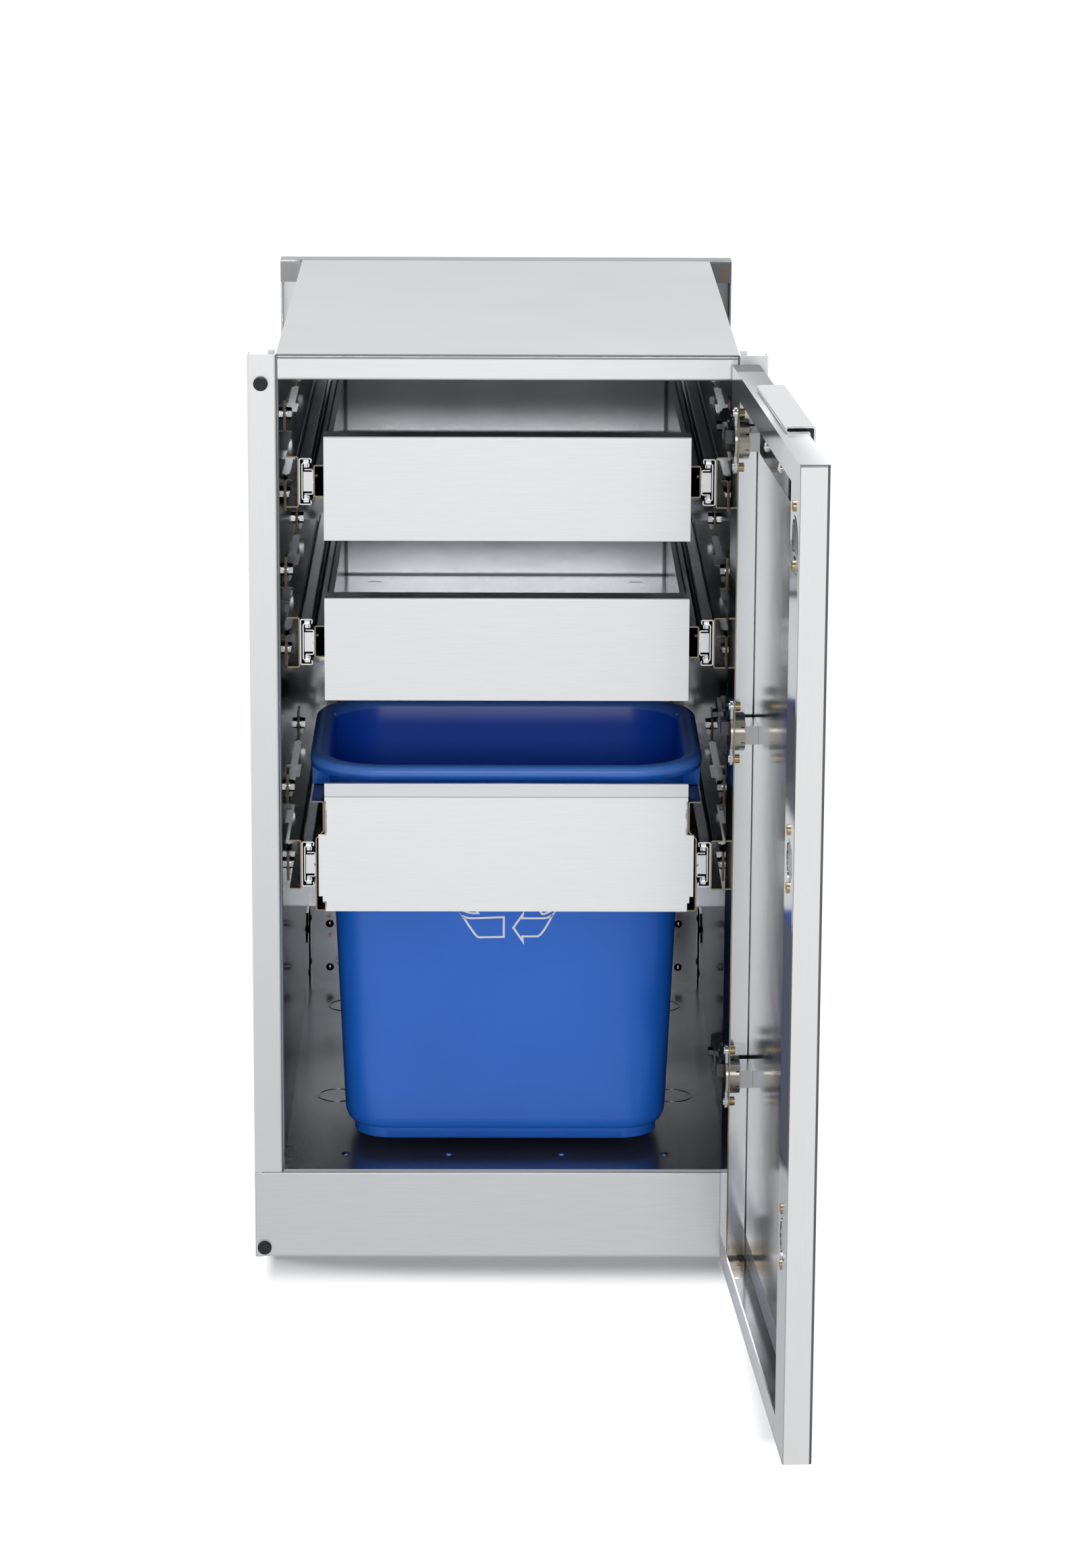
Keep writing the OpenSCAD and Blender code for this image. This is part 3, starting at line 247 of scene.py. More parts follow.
def satin_stainless(name, colour, rough=0.36, tints=(), metal=1.0):
    """Fine satin stainless sheet with no visible grain, and faint clouds from handling."""
    made, tree = new_material(name)
    where = add_node(tree, "ShaderNodeTexCoord")
    clouds = add_node(tree, "ShaderNodeTexNoise", inputs={
        "Vector": (where, "Object"), "Scale": 1000 / 130, "Detail": 3.0})
    darker = [c * 0.97 for c in linear(colour)]
    tone = ramp(tree, (clouds, "Fac"), [(0.3, darker), (0.7, linear(colour))])
    hazy = add_node(tree, "ShaderNodeMapRange", inputs={
        "Value": (clouds, "Fac"), "To Min": rough - 0.03, "To Max": rough + 0.03})
    shader = add_node(tree, "ShaderNodeBsdfPrincipled", inputs={
        "Base Color": add_marks_and_painted_light(tree, (tone, "Color"), tints), "Metallic": metal,
        "Roughness": (hazy, "Result")})
    close_material(tree, shader)
    return made


# Painted shade: the default colour is far darker than the door's bright rolled inside
def rolled_stainless(name, colour="#6E7073", rough=0.1, tints=(), cut_edges="", wavy=0.25, metal=1.0):
    """Bright rolled stainless sheet. Its laser-cut edges that face the front can be tan, and
    a metal share below 1 stands for a film of dust."""
    made, tree = new_material(name)
    bright = rolled_shader(tree, colour, rough, tints, wavy, metal=metal)
    if not cut_edges:
        close_material(tree, bright)
        return made
    burnt = add_node(tree, "ShaderNodeBsdfPrincipled", inputs={
        "Base Color": linear(cut_edges), "Metallic": 1.0, "Roughness": 0.5})
    both = add_node(tree, "ShaderNodeMixShader", inputs={
        0: facing(tree, (0, -1, 0)), 1: (bright, "BSDF"), 2: (burnt, "BSDF")})
    close_material(tree, both, "Shader")
    return made


def plated_steel(name, colour, rough):
    """Smooth plated steel, with fine specks that break up the gloss."""
    made, tree = new_material(name)
    where = add_node(tree, "ShaderNodeTexCoord")
    specks = add_node(tree, "ShaderNodeTexNoise", inputs={
        "Vector": (where, "Object"), "Scale": 1000 / 3, "Detail": 3.0})
    dull = add_node(tree, "ShaderNodeMapRange", inputs={
        "Value": (specks, "Fac"), "To Min": rough * 0.8, "To Max": rough * 1.25})
    shader = add_node(tree, "ShaderNodeBsdfPrincipled", inputs={
        "Base Color": linear(colour), "Metallic": 1.0, "Roughness": (dull, "Result")})
    close_material(tree, shader)
    return made


def pressed_nickel(name, colour, rough, bodies, beyond):
    """Nickel-plated pressing of a hinge cup. Its housing past the cup is bright, as the door's inside
    behind it is, with painted shade on its upward faces. bodies are the boxes of the pressed cups."""
    made, tree = new_material(name)
    cup = add_node(tree, "ShaderNodeBsdfPrincipled", inputs={
        "Base Color": linear(colour), "Metallic": 1.0, "Roughness": rough})
    # Painted shade: the housing's upward faces are coloured darker than its others
    housing_painted_shade = blend_colour(tree, facing(tree, (0, 0, 1), 0.5), linear(beyond), linear("#6A6C6F"))
    housing = add_node(tree, "ShaderNodeBsdfPrincipled", inputs={
        "Base Color": housing_painted_shade, "Metallic": 1.0, "Roughness": 0.3})
    masks = [patch(tree, low, high, 0.0004) for low, high in bodies]
    both = add_node(tree, "ShaderNodeMixShader", inputs={
        0: either(tree, *masks), 1: (housing, "BSDF"), 2: (cup, "BSDF")})
    close_material(tree, both, "Shader")
    return made


def moulded_polyethylene(name, colour, deep, inside, rim, rim_z, middle_y):
    """Blue bin plastic: moulded, satin, with a faint orange-peel skin. Light that bounces from wall to
    wall makes its inside a deeper blue, and its rim has a paler painted highlight."""
    made, tree = new_material(name)
    where = add_node(tree, "ShaderNodeTexCoord")
    skin = add_node(tree, "ShaderNodeTexNoise", inputs={
        "Vector": (where, "Object"), "Scale": 1000 / 1.2, "Detail": 2.0})
    flow = add_node(tree, "ShaderNodeTexNoise", inputs={
        "Vector": (where, "Object"), "Scale": 1000 / 160, "Detail": 2.0})
    tone = ramp(tree, (flow, "Fac"), [(0.3, linear(deep)), (0.7, linear(colour))])
    relief = add_node(tree, "ShaderNodeBump", inputs={
        "Height": (skin, "Fac"), "Strength": 0.12, "Distance": 0.0002})
    # Inner faces: the back wall's front, and the sides' faces towards the middle
    walls = [((0, -1, 0), (None, middle_y + 0.06, None), ANYWHERE),
             ((1, 0, 0), ANYWHERE, (-0.1, None, None)),
             ((-1, 0, 0), (0.1, None, None), ANYWHERE)]
    inner = [times(tree, facing(tree, way, 0.5), patch(tree, low, high, 0.001))
             for way, low, high in walls]
    shade = blend_colour(tree, either(tree, *inner), (tone, "Color"), linear(inside))
    # Painted highlight: the rim is coloured paler
    shade = add_marks_and_painted_light(tree, shade, [((None, None, rim_z), ANYWHERE, 0.002, 0, rim, 0.8)])
    shader = add_node(tree, "ShaderNodeBsdfPrincipled", inputs={
        "Base Color": shade, "Roughness": 0.33, "IOR": 1.5, "Normal": (relief, "Normal")})
    close_material(tree, shader)
    return made


def dull_solid(name, colour, light, rough=0.6):
    """Rubber or ink: one dull colour with a little dust on it."""
    made, tree = new_material(name)
    where = add_node(tree, "ShaderNodeTexCoord")
    dust = add_node(tree, "ShaderNodeTexNoise", inputs={
        "Vector": (where, "Object"), "Scale": 1000 / 2, "Detail": 3.0})
    tone = ramp(tree, (dust, "Fac"), [(0.4, linear(colour)), (0.75, linear(light))])
    shader = add_node(tree, "ShaderNodeBsdfPrincipled", inputs={
        "Base Color": (tone, "Color"), "Roughness": rough})
    close_material(tree, shader)
    return made


# Places that the heat tints are measured from, in metres
plate_low, plate_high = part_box("bin_carrier_front")
door_low, door_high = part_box("door_pan")
# The wall of the door's free edge, from its flange to its skin
free_low_x, free_high_x = door_low.x + 0.0283, door_low.x + 0.0515
free_foot_y = door_low.y + 0.004
free_flange_y = door_low.y + 0.052
# The open door stands 3.6 degrees past square; its faces point these ways
DOOR_PAST_SQUARE = math.radians(3.6)
OUT, IN = (0.998, 0.063, 0), (-0.998, -0.063, 0)
FREE_SIDE, HINGE_SIDE = (0.063, -0.998, 0), (-0.063, 0.998, 0)
# Where the corner of the hinge side's wall begins, and the cut edge of that side's flange
hinge_corner_y = -0.308
hinge_flange_y = -0.351
rear_low, rear_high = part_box("rear_top_rail")
rail_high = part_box("top_rail")[1]
door_skin_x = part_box("upper_hinge_cup")[1].x + 0.007
bin_low, bin_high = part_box("waste_bin")
panel_low_x, panel_high_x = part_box("left_side_panel")[0].x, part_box("right_side_panel")[1].x
panel_high_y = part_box("back_panel")[1].y
drawer_boxes = [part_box("upper_drawer_box"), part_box("lower_drawer_box")]
cup_boxes = [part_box(f"{row}_hinge_cup") for row in ("upper", "middle", "lower")]
GOLD, BROWN, SOOT, TAN = "#B79A6A", "#7A6248", "#3A3735", "#B5A285"

plate_lip_z = plate_high.z - 12.4 * MM
plate_burns_and_painted_light = [
    # Painted reflection: the rolled lip is coloured darker, as it reflects lower ground than the plate
    # does, with a painted shadow line under it
    ((None, None, plate_lip_z), (None, plate_low.y + 0.0015, None), 0.0002, 0, "#D6D8DB", 0.9),
    ((None, plate_low.y + 0.0006, plate_lip_z - 0.0012), (None, None, plate_lip_z),
     0.0003, 0, "#8A8B8D", 0.7),
    # Weld burns along both upper edges and at the lower left corner
    ((plate_low.x, None, plate_high.z - 0.048), (plate_low.x + 0.0068, None, plate_high.z - 0.018),
     0.0012, 0.0012, BROWN, 0.7),
    ((plate_high.x - 0.0068, None, plate_high.z - 0.048), (plate_high.x, None, plate_high.z - 0.018),
     0.0012, 0.0012, BROWN, 0.7),
    ((plate_low.x, None, plate_low.z), (plate_low.x + 0.006, None, plate_low.z + 0.009),
     0.0015, 0.001, BROWN, 0.9),
]

cap_top_z = rear_high.z - 0.0014
cap_front_y = rear_low.y + 0.002
cap_burns_and_painted_light = [
    # Painted reflections: the cap's top face is coloured darker than the sheet in front of it, as it
    # mirrors darker ground, between two bends painted dark
    ((None, None, cap_top_z), ANYWHERE, 0.0004, 0, "#7E8185", 0.9),
    ((None, None, cap_top_z), (None, rear_low.y + 0.0014, None), 0.0008, 0, "#3E4043", 0.9),
    ((None, rear_high.y - 0.003, cap_top_z), ANYWHERE, 0.001, 0, "#4E5053", 0.8),
    # Its front face is hazy at the left end and dark at the right, where two burns sit
    ((rear_low.x, None, None), (rear_low.x + 0.012, cap_front_y, None), 0.008, 0.002, "#A5A4A3", 0.8),
    ((rear_high.x - 0.036, None, None), (rear_high.x, cap_front_y, None), 0.004, 0.001, "#55585C", 0.9),
]
for start, end, strength in ((0.034, 0.03, 0.9), (0.01, 0.007, 0.8)):
    cap_burns_and_painted_light.append(((rear_high.x - start, None, rear_high.z - 0.02),
                      (rear_high.x - end, None, rear_high.z - 0.008), 0.002, 0.001, BROWN, strength))

door_top_z = door_high.z - 0.0015
door_weld_and_painted_light = [
    # Painted shade: the top wall faces the light but is coloured darker, more so towards the hinge
    # corner, where the weld blued it
    ((None, None, door_top_z), ANYWHERE, 0.0005, 0, "#BDBFC2", 0.9),
    ((None, -0.45, door_top_z), ANYWHERE, 0.16, 0, "#94979A", 0.8),
    ((None, -0.335, door_high.z - 0.0012), ANYWHERE, 0.001, 0.001, "#66686B", 0.85),
    # Painted reflections: bends of the free edge are coloured as thin dark lines, for dark ground that
    # they mirror
    (ANYWHERE, (free_low_x + 0.0009, free_foot_y, None), 0.0004, 0, "#6A6C6E", 0.8),
    ((free_high_x - 0.0009, None, None), (None, free_foot_y, None), 0.0005, 0, "#4E5052", 0.9),
    ((None, None, door_high.z - 0.0005), (None, free_foot_y, None), 0.0003, 0, "#5A5C5E", 0.9),
]
door_inside_marks_and_painted_shade = [
    # Painted shade: a dark line in the corner between the hinge side's wall and the skin
    ((door_skin_x - 0.0012, hinge_corner_y, None), (door_skin_x + 0.004, hinge_corner_y + 0.008, None),
     0.0008, 0, "#55575A", 0.8),
    # Welded corner at the hinge side's foot: a sooty seam, with gold above and below it
    ((None, -0.345, 0.0), (None, None, 0.012), 0.008, 0.002, GOLD, 0.6),
    ((None, -0.335, 0.0022), (None, None, 0.0052), 0.0015, 0.0008, SOOT, 0.85),
    # The foot's flange is coloured dark grey
    (ANYWHERE, (None, None, door_low.z + 0.003), 0.0005, 0, "#57565A", 0.95),
    # Laser-cut edges of the flanges that face the front
    ((None, hinge_flange_y - 0.0015, None), (door_skin_x - 0.018, hinge_flange_y + 0.0015, None),
     0.0004, 0, TAN, 0.9),
]
# Painted reflections on the door's inside: dull films of fixed colour in place of what it mirrors
door_painted_reflections = [
    # Painted reflections: two dark bands on the free side's flange stand for dark ground that it
    # mirrors; its foot is only duller, under a paler film
    (IN, (None, None, 0.556), (None, free_flange_y, 0.624), 0.02, "#56595C", 0.93),
    (IN, (None, None, 0.262), (None, free_flange_y, 0.448), 0.02, "#5C5F62", 0.93),
    (IN, ANYWHERE, (None, free_flange_y, 0.236), 0.02, "#C4C9CE", 0.75),
    # Painted reflection: a pale film on the bottom flange
    (IN, (None, free_flange_y + 0.002, None), (None, None, door_low.z + 0.0252), 0.001, "#CDD2D7", 0.8),
]
door_outsides = [
    (OUT, ANYWHERE, ANYWHERE),
    (FREE_SIDE, ANYWHERE, (None, door_low.y + 0.012, None)),
    (HINGE_SIDE, (None, door_high.y - 0.012, None), ANYWHERE),
    ((0, 0, 1), (None, None, door_high.z - 0.004), ANYWHERE),
    ((0, 0, -1), ANYWHERE, (None, None, door_low.z + 0.004)),
]

# Brown spot-weld marks on the rear gussets, in pairs one above the other
WELD_X, WELD_Z, WELD_HALF = 0.18, (0.1354, 0.1559), 0.0012
weld_marks = []
for side in (-1, 1):
    for height in WELD_Z:
        weld_marks.append(((side * WELD_X - WELD_HALF, 0.24, height - WELD_HALF),
                           (side * WELD_X + WELD_HALF, None, height + WELD_HALF),
                           0.0012, 0.0004, "#5A4030", 0.85))

# Open seams in the drawers' corners: two upright ones at the back, and one along the floor
drawer_tints = []
for low, high in drawer_boxes:
    back_start, back_end = high.y - 0.006, high.y - 0.001
    for inner_x in (low.x + 0.0012, high.x - 0.0012):
        drawer_tints.append(((inner_x - 0.002, back_start, low.z), (inner_x + 0.002, back_end, high.z),
                             0.002, 0, "#34363A", 0.85))
    drawer_tints.append(((None, back_start, low.z + 0.0008), (None, back_end, low.z + 0.0022),
                         0.002, 0, "#34363A", 0.8))

across = brushed_stainless("brushed stainless, grain across", "X")
# Painted reflection: the base is coloured darker than the drawer fronts, for the floor close in front of
# it that it mirrors
base_steel = brushed_stainless("brushed stainless, base", "X", bright="#D3D5D8", dark="#CCCED1")
plate_steel = brushed_stainless(
    "brushed stainless, bin carrier front", "X", "#E9EAEB", "#E3E5E7", tints=plate_burns_and_painted_light)
# Painted reflections: the stiles are coloured paler than the base, and a little darker towards their
# feet, where they mirror darker ground
upright = brushed_stainless(
    "brushed stainless, grain upright", "Z", "#FCFCFD", "#F6F7F8", 0.48, 0.5,
    [(ANYWHERE, (None, None, 0.0), 0.8, 0, "#E0E2E4", 0.9)])
door_steel = two_faced_stainless(
    "brushed stainless outside and bright rolled inside, door", "Z", door_outsides, "#F8F8F9",
    "#F3F4F5", 0.5, 0.5, "#E8EAEC", 0.14, door_weld_and_painted_light, door_inside_marks_and_painted_shade, door_painted_reflections)
drawer_steel = two_faced_stainless(
    "brushed stainless outside and bright rolled inside, drawers", "X",
    [((0, -1, 0), ANYWHERE, (None, front_y + 0.006, None))],
    inside="#C8CACD", inside_rough=0.22, inside_tints=drawer_tints)
# Painted shade: a dark band along the top rail's upper edge, under the top sheet
rail_steel = brushed_stainless(
    "brushed stainless, top rail", "X",
    tints=[((None, None, rail_high.z - 0.0022), ANYWHERE, 0.0006, 0, "#6F7174", 0.9)])
# Painted shade: a dark line along the top sheet's front edge, over the top rail
top_steel = satin_stainless("satin stainless, top sheet", "#CBCCCD", tints=[
    (ANYWHERE, (None, front_y + 0.0034, None), 0.001, 0, "#77797C", 0.9)])
# Painted reflections: the rear rail and the right post are coloured darker, for darker ground that they
# mirror, and the left post paler, for white. Each has its own finish to match, and the darker two aren't
# fully metal.
cap_steel = satin_stainless("satin stainless, rear frame", "#B4B6B8", 0.3, cap_burns_and_painted_light, 0.6)
post_steel = satin_stainless("satin stainless, right rear post", "#929496", 0.3, (), 0.6)
left_post_painted_bright = satin_stainless("satin stainless painted bright, left rear post", "#F4F5F6", 0.35)
# Painted shade: rolled sheet inside the cabinet is coloured darker than the door's bright inside, most
# of all on the sides, the gussets and the runner channels
rolled = rolled_stainless("bright rolled stainless")
panel_outsides = [((-1, 0, 0), ANYWHERE, (panel_low_x + 0.0004, None, None)),
                  ((1, 0, 0), (panel_high_x - 0.0004, None, None), ANYWHERE),
                  ((0, 1, 0), (None, panel_high_y - 0.0004, None), ANYWHERE)]
# Painted shade: the sides' inside is coloured dark, and greyed where it mirrors at a glancing angle
side_steel = two_faced_stainless(
    "brushed stainless outside and bright rolled inside, sides", "Z", panel_outsides,
    "#D3D5D7", "#CCCED0", inside="#6E7073", inside_rough=0.05, wavy=0.0, edge="#8A8C8F")
back_steel = two_faced_stainless(
    "brushed stainless outside and bright rolled inside, back", "Z", panel_outsides,
    "#D3D5D7", "#CCCED0", inside="#A8AAAD", inside_rough=0.08, inside_tints=weld_marks, wavy=0.01)
# Painted shade: the gussets are coloured dark
gusset_steel = rolled_stainless(
    "bright rolled stainless, gussets", "#626467", 0.06, weld_marks, wavy=0.0)
# The pressed part of each hinge cup: its depth, and half its height
CUP_DEPTH, CUP_HALF = 15.2 * MM, 12.2 * MM
cup_bodies = [((None, None, (low.z + high.z) / 2 - CUP_HALF),
               (low.x + CUP_DEPTH, None, (low.z + high.z) / 2 + CUP_HALF)) for low, high in cup_boxes]
cup_nickel = pressed_nickel(
    "nickel-plated pressing, hinge cups", "#B4AFA4", 0.28, cup_bodies, "#C2C4C6")
floor_steel = rolled_stainless("bright rolled stainless, floor", "#ABADB0", 0.24, metal=0.88)
# Painted shade: the runner channels are coloured dark
channel_steel = rolled_stainless(
    "bright rolled stainless, runner channels", "#6C6D70", 0.14, cut_edges="#9C8F79")
zinc = plated_steel("bright zinc plate", "#E4E6E8", 0.22)
bright_zinc = plated_steel("bright zinc fasteners", "#D5D6D6", 0.16)
nickel = plated_steel("nickel plate", "#A9ABAC", 0.14)
# Painted reflection: the hinge arms' nickel is coloured dark, for the dark ground that it mirrors
nickel_painted_dark = plated_steel("nickel plate painted dark, hinge arms", "#5C5D60", 0.2)
chrome = plated_steel("satin chrome", "#E2E4E6", 0.18)
brass = plated_steel("dull brass", "#B3A077", 0.28)
blue_plastic = moulded_polyethylene(
    "moulded blue polyethylene", "#2476E8", "#1F6CDA", "#1B60EA", "#5A94F6", bin_high.z - 0.0072,
    (bin_low.y + bin_high.y) / 2)
rubber = dull_solid("moulded black rubber", "#1C1D1F", "#2B2C2F")
white_ink = dull_solid("white printing ink", "#FBFCFD", "#FFFFFF", 0.5)

FINISHES = {
    "brushed_stainless": across,
    "polished_stainless": rolled,
    "zinc_plated_steel": zinc,
    "bright_fasteners": bright_zinc,
    "nickel_hinges": nickel,
    "chrome_pull": chrome,
    "brass_inserts": brass,
    "blue_polyethylene": blue_plastic,
    "black_rubber": rubber,
}
SPECIAL = {
    upright: ["left_front_stile", "right_front_stile"],
    post_steel: ["right_rear_post"],
    left_post_painted_bright: ["left_rear_post"],
    floor_steel: ["floor_panel"],
    side_steel: ["left_side_panel", "right_side_panel"],
    gusset_steel: ["corner_gussets"],
    back_steel: ["back_panel"],
    cup_nickel: ["upper_hinge_cup", "middle_hinge_cup", "lower_hinge_cup"],
    drawer_steel: ["upper_drawer_box", "lower_drawer_box"],
    door_steel: ["door_pan"],
    top_steel: ["top_panel"],
    rail_steel: ["top_rail"],
    cap_steel: ["rear_top_rail"],
    base_steel: ["base_channel"],
    plate_steel: ["bin_carrier_front"],
    channel_steel: [f"{row}_{side}_carrier" for row in ("upper", "lower", "bin")
                    for side in ("left", "right")]
    + ["upper_drawer_brackets", "lower_drawer_brackets",
       "bin_carrier_left_rail", "bin_carrier_right_rail"],
    nickel_painted_dark: ["upper_hinge_arm", "middle_hinge_arm", "lower_hinge_arm"],
}


def paint(thing, finish):
    thing.data.materials.clear()
    thing.data.materials.append(finish)


def paint_frame():
    for part in frame["record"]["subparts"]:
        paint(nodes[part["node"]], FINISHES[part["material_slot"]])
    for finish, names in SPECIAL.items():
        for name in names:
            paint(nodes[name], finish)


paint_frame()


def start_piece(name, body, finish):
    """Names the active object, sets it to ride on a body and paints it."""
    made = bpy.context.object
    made.name = name
    paint(made, finish)
    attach(made, body)
    return made


def pick(made, rule):
    """Selects the vertices that a rule on their place picks, in edit mode."""
    bpy.ops.object.mode_set(mode="OBJECT")
    for vertex in made.data.vertices:
        vertex.select = rule(vertex.co)
    for edge in made.data.edges:
        edge.select = all(made.data.vertices[i].select for i in edge.vertices)
    for face in made.data.polygons:
        face.select = all(made.data.vertices[i].select for i in face.vertices)
    bpy.ops.object.mode_set(mode="EDIT")
    bpy.ops.mesh.select_mode(type="VERT")


def finish_piece(made, angle=35):
    """Merges doubles, turns the faces outward and smooths them by angle."""
    bpy.ops.object.mode_set(mode="EDIT")
    bpy.ops.mesh.select_all(action="SELECT")
    bpy.ops.mesh.remove_doubles(threshold=0.000005)
    bpy.ops.mesh.normals_make_consistent(inside=False)
    bpy.ops.object.mode_set(mode="OBJECT")
    bpy.ops.object.select_all(action="DESELECT")
    made.select_set(True)
    bpy.context.view_layer.objects.active = made
    bpy.ops.object.transform_apply(location=True, rotation=True, scale=True)
    bpy.ops.object.shade_smooth_by_angle(angle=math.radians(angle))


def add_plane(centre, size):
    bpy.ops.object.select_all(action="DESELECT")
    bpy.ops.mesh.primitive_plane_add(size=1, location=centre)
    bpy.ops.object.mode_set(mode="EDIT")
    bpy.ops.mesh.select_mode(type="VERT")
    bpy.ops.transform.resize(value=(size[0], size[1], 1))
    return bpy.context.object


def add_box(low, high):
    bpy.ops.object.select_all(action="DESELECT")
    centre = [(a + b) / 2 for a, b in zip(low, high)]
    bpy.ops.mesh.primitive_cube_add(size=1, location=centre)
    bpy.ops.object.mode_set(mode="EDIT")
    bpy.ops.mesh.select_mode(type="VERT")
    bpy.ops.transform.resize(value=[b - a for a, b in zip(low, high)])
    return bpy.context.object


BIN_HEIGHT = 365.0
BIN_SECTIONS = [
    # Height above the foot, half width, half depth and corner radius, in mm: outside, upwards
    (7.0, 133.5, 84.5, 30), (0.6, 134.5, 85.5, 31), (0.2, 135.2, 86.2, 32), (0.0, 138.8, 89.8, 33),
    (0.6, 139.5, 90.5, 33), (10.0, 139.5, 90.5, 33), (10.6, 142.2, 93.2, 36), (12.0, 144.2, 95.2, 38),
    (14.6, 146.0, 97.0, 40), (18.0, 147.2, 98.2, 40.5), (22.5, 148.0, 99.0, 41),
    (150.0, 153.5, 105.2, 44), (300.0, 160.0, 112.8, 47.5), (350.0, 162.2, 115.3, 48.8),
    # Under the rim, round it and over its top
    (358.5, 163.0, 116.0, 49), (361.0, 164.6, 117.6, 51), (361.8, 167.0, 120.0, 53),
    (361.0, 174.2, 127.2, 60), (360.0, 175.6, 128.6, 62), (353.0, 175.8, 128.8, 62.3),
    (352.7, 176.2, 129.2, 62.6), (352.4, 177.4, 130.4, 63.6), (353.0, 177.9, 130.9, 63.9),
    (359.5, 178.0, 131.0, 64), (362.6, 177.2, 130.2, 63.4), (364.3, 175.2, 128.2, 62),
    (365.0, 172.4, 125.4, 59.5), (364.9, 169.0, 122.0, 56.5), (364.0, 165.6, 118.6, 53.5),
    (361.6, 162.8, 115.8, 50.6), (358.0, 161.2, 114.2, 48.2),
    # Inside, downwards
    (340.0, 160.2, 113.0, 46.8), (200.0, 153.6, 105.4, 43.6), (40.0, 146.7, 97.6, 39.4),
    (24.0, 145.6, 96.4, 38.2), (17.0, 143.2, 94.0, 36), (13.4, 139.0, 90.0, 32), (12.2, 133.0, 84.0, 27),
]


def model_bin():
    """The waste bin: rounded sections bridged one to the next, closed under its foot and inside."""
    low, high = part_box("waste_bin")
    middle = (low + high) / 2
    lift = (high.z - low.z) / (BIN_HEIGHT * MM)
    rings = []
    for height, half_w, half_d, radius in BIN_SECTIONS:
        ring = add_plane((middle.x, middle.y, low.z + height * MM * lift),
                         (2 * half_w * MM, 2 * half_d * MM))
        bpy.ops.mesh.select_all(action="SELECT")
        bpy.ops.mesh.bevel(offset=radius * MM, segments=14, affect="VERTICES")
        bpy.ops.mesh.delete(type="ONLY_FACE")
        bpy.ops.object.mode_set(mode="OBJECT")
        rings.append(ring)
    count = len(rings[0].data.vertices)
    for ring in rings:
        ring.select_set(True)
    bpy.context.view_layer.objects.active = rings[0]
    bpy.ops.object.join()
    made = start_piece("waste_bin_shell", "waste_bin_body", blue_plastic)
    levels = len(BIN_SECTIONS)
    for level in range(levels - 1):
        pick_range(made, level * count, (level + 2) * count)
        bpy.ops.mesh.bridge_edge_loops()
    for level in (0, levels - 1):
        pick_range(made, level * count, (level + 1) * count)
        bpy.ops.mesh.edge_face_add()
    finish_piece(made, 50)
    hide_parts("waste_bin")


def pick_range(made, start, end):
    """Selects vertices by number, with the edges between them."""
    bpy.ops.object.mode_set(mode="OBJECT")
    for vertex in made.data.vertices:
        vertex.select = start <= vertex.index < end
    for edge in made.data.edges:
        edge.select = all(start <= i < end for i in edge.vertices)
    for face in made.data.polygons:
        face.select = False
    bpy.ops.object.mode_set(mode="EDIT")
    bpy.ops.mesh.select_mode(type="EDGE")


def model_bin_ribs():
    """Ribs under the rim that rest on the carrier's flanges."""
    low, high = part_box("waste_bin")
    middle = (low + high) / 2
    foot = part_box("bin_carrier_left_rail")[1].z + 0.0004
    for index, (side, place) in enumerate([(-1, -78), (-1, 78), (1, -78), (1, 78)]):
        outer = middle.x + side * 176 * MM
        inner = middle.x + side * 160 * MM
        y = middle.y + place * MM
        add_box((min(inner, outer), y - 0.0015, foot), (max(inner, outer), y + 0.0015, high.z - 0.003))
        made = start_piece(f"bin_rib_{index + 1}", "waste_bin_body", blue_plastic)
        bpy.ops.mesh.select_all(action="SELECT")
        bpy.ops.mesh.bevel(offset=0.0006, segments=2, affect="EDGES")
        finish_piece(made)


# The printed mark: outlines of a generic loop of arrows, in mm from the middle of its lower edge,
# and the scale that brings them to the photograph's size
MARK_SCALE = 1.06
MARK_OUTLINES = {
    "loop_mark_band": [
        (-42.4, 23.7), (-38.5, 17.9), (-34.0, 10.5), (-29.8, 4.2), (-27.6, 1.5), (-25.6, 0.2),
        (-3.0, 0.7), (-3.0, 20.4), (-25.8, 19.4), (-32.5, 19.2), (-36.6, 20.1), (-39.5, 21.6)],
    "loop_mark_arrow": [
        (3.3, 9.9), (13.6, -5.8), (12.9, 1.1), (25.3, 1.2), (27.9, 2.7), (31.3, 7.1), (34.6, 12.9),
        (38.6, 21.0), (41.9, 26.2), (36.2, 21.3), (33.2, 19.9), (30.3, 19.3), (12.8, 19.3),
        (13.8, 25.6)],
    "loop_mark_left_limb": [
        (-24.2, 22.3), (-30.0, 22.1), (-34.6, 22.8), (-38.6, 24.5), (-40.8, 26.1), (-45.0, 33.0),
        (-38.0, 47.0), (-24.0, 41.0), (-28.0, 30.0), (-26.9, 26.0)],
    "loop_mark_right_limb": [
        (28.9, 21.3), (31.2, 21.6), (35.2, 23.5), (39.2, 26.0), (43.0, 32.0), (36.0, 45.0),
        (30.5, 52.0), (21.5, 36.0), (25.2, 26.0)],
}


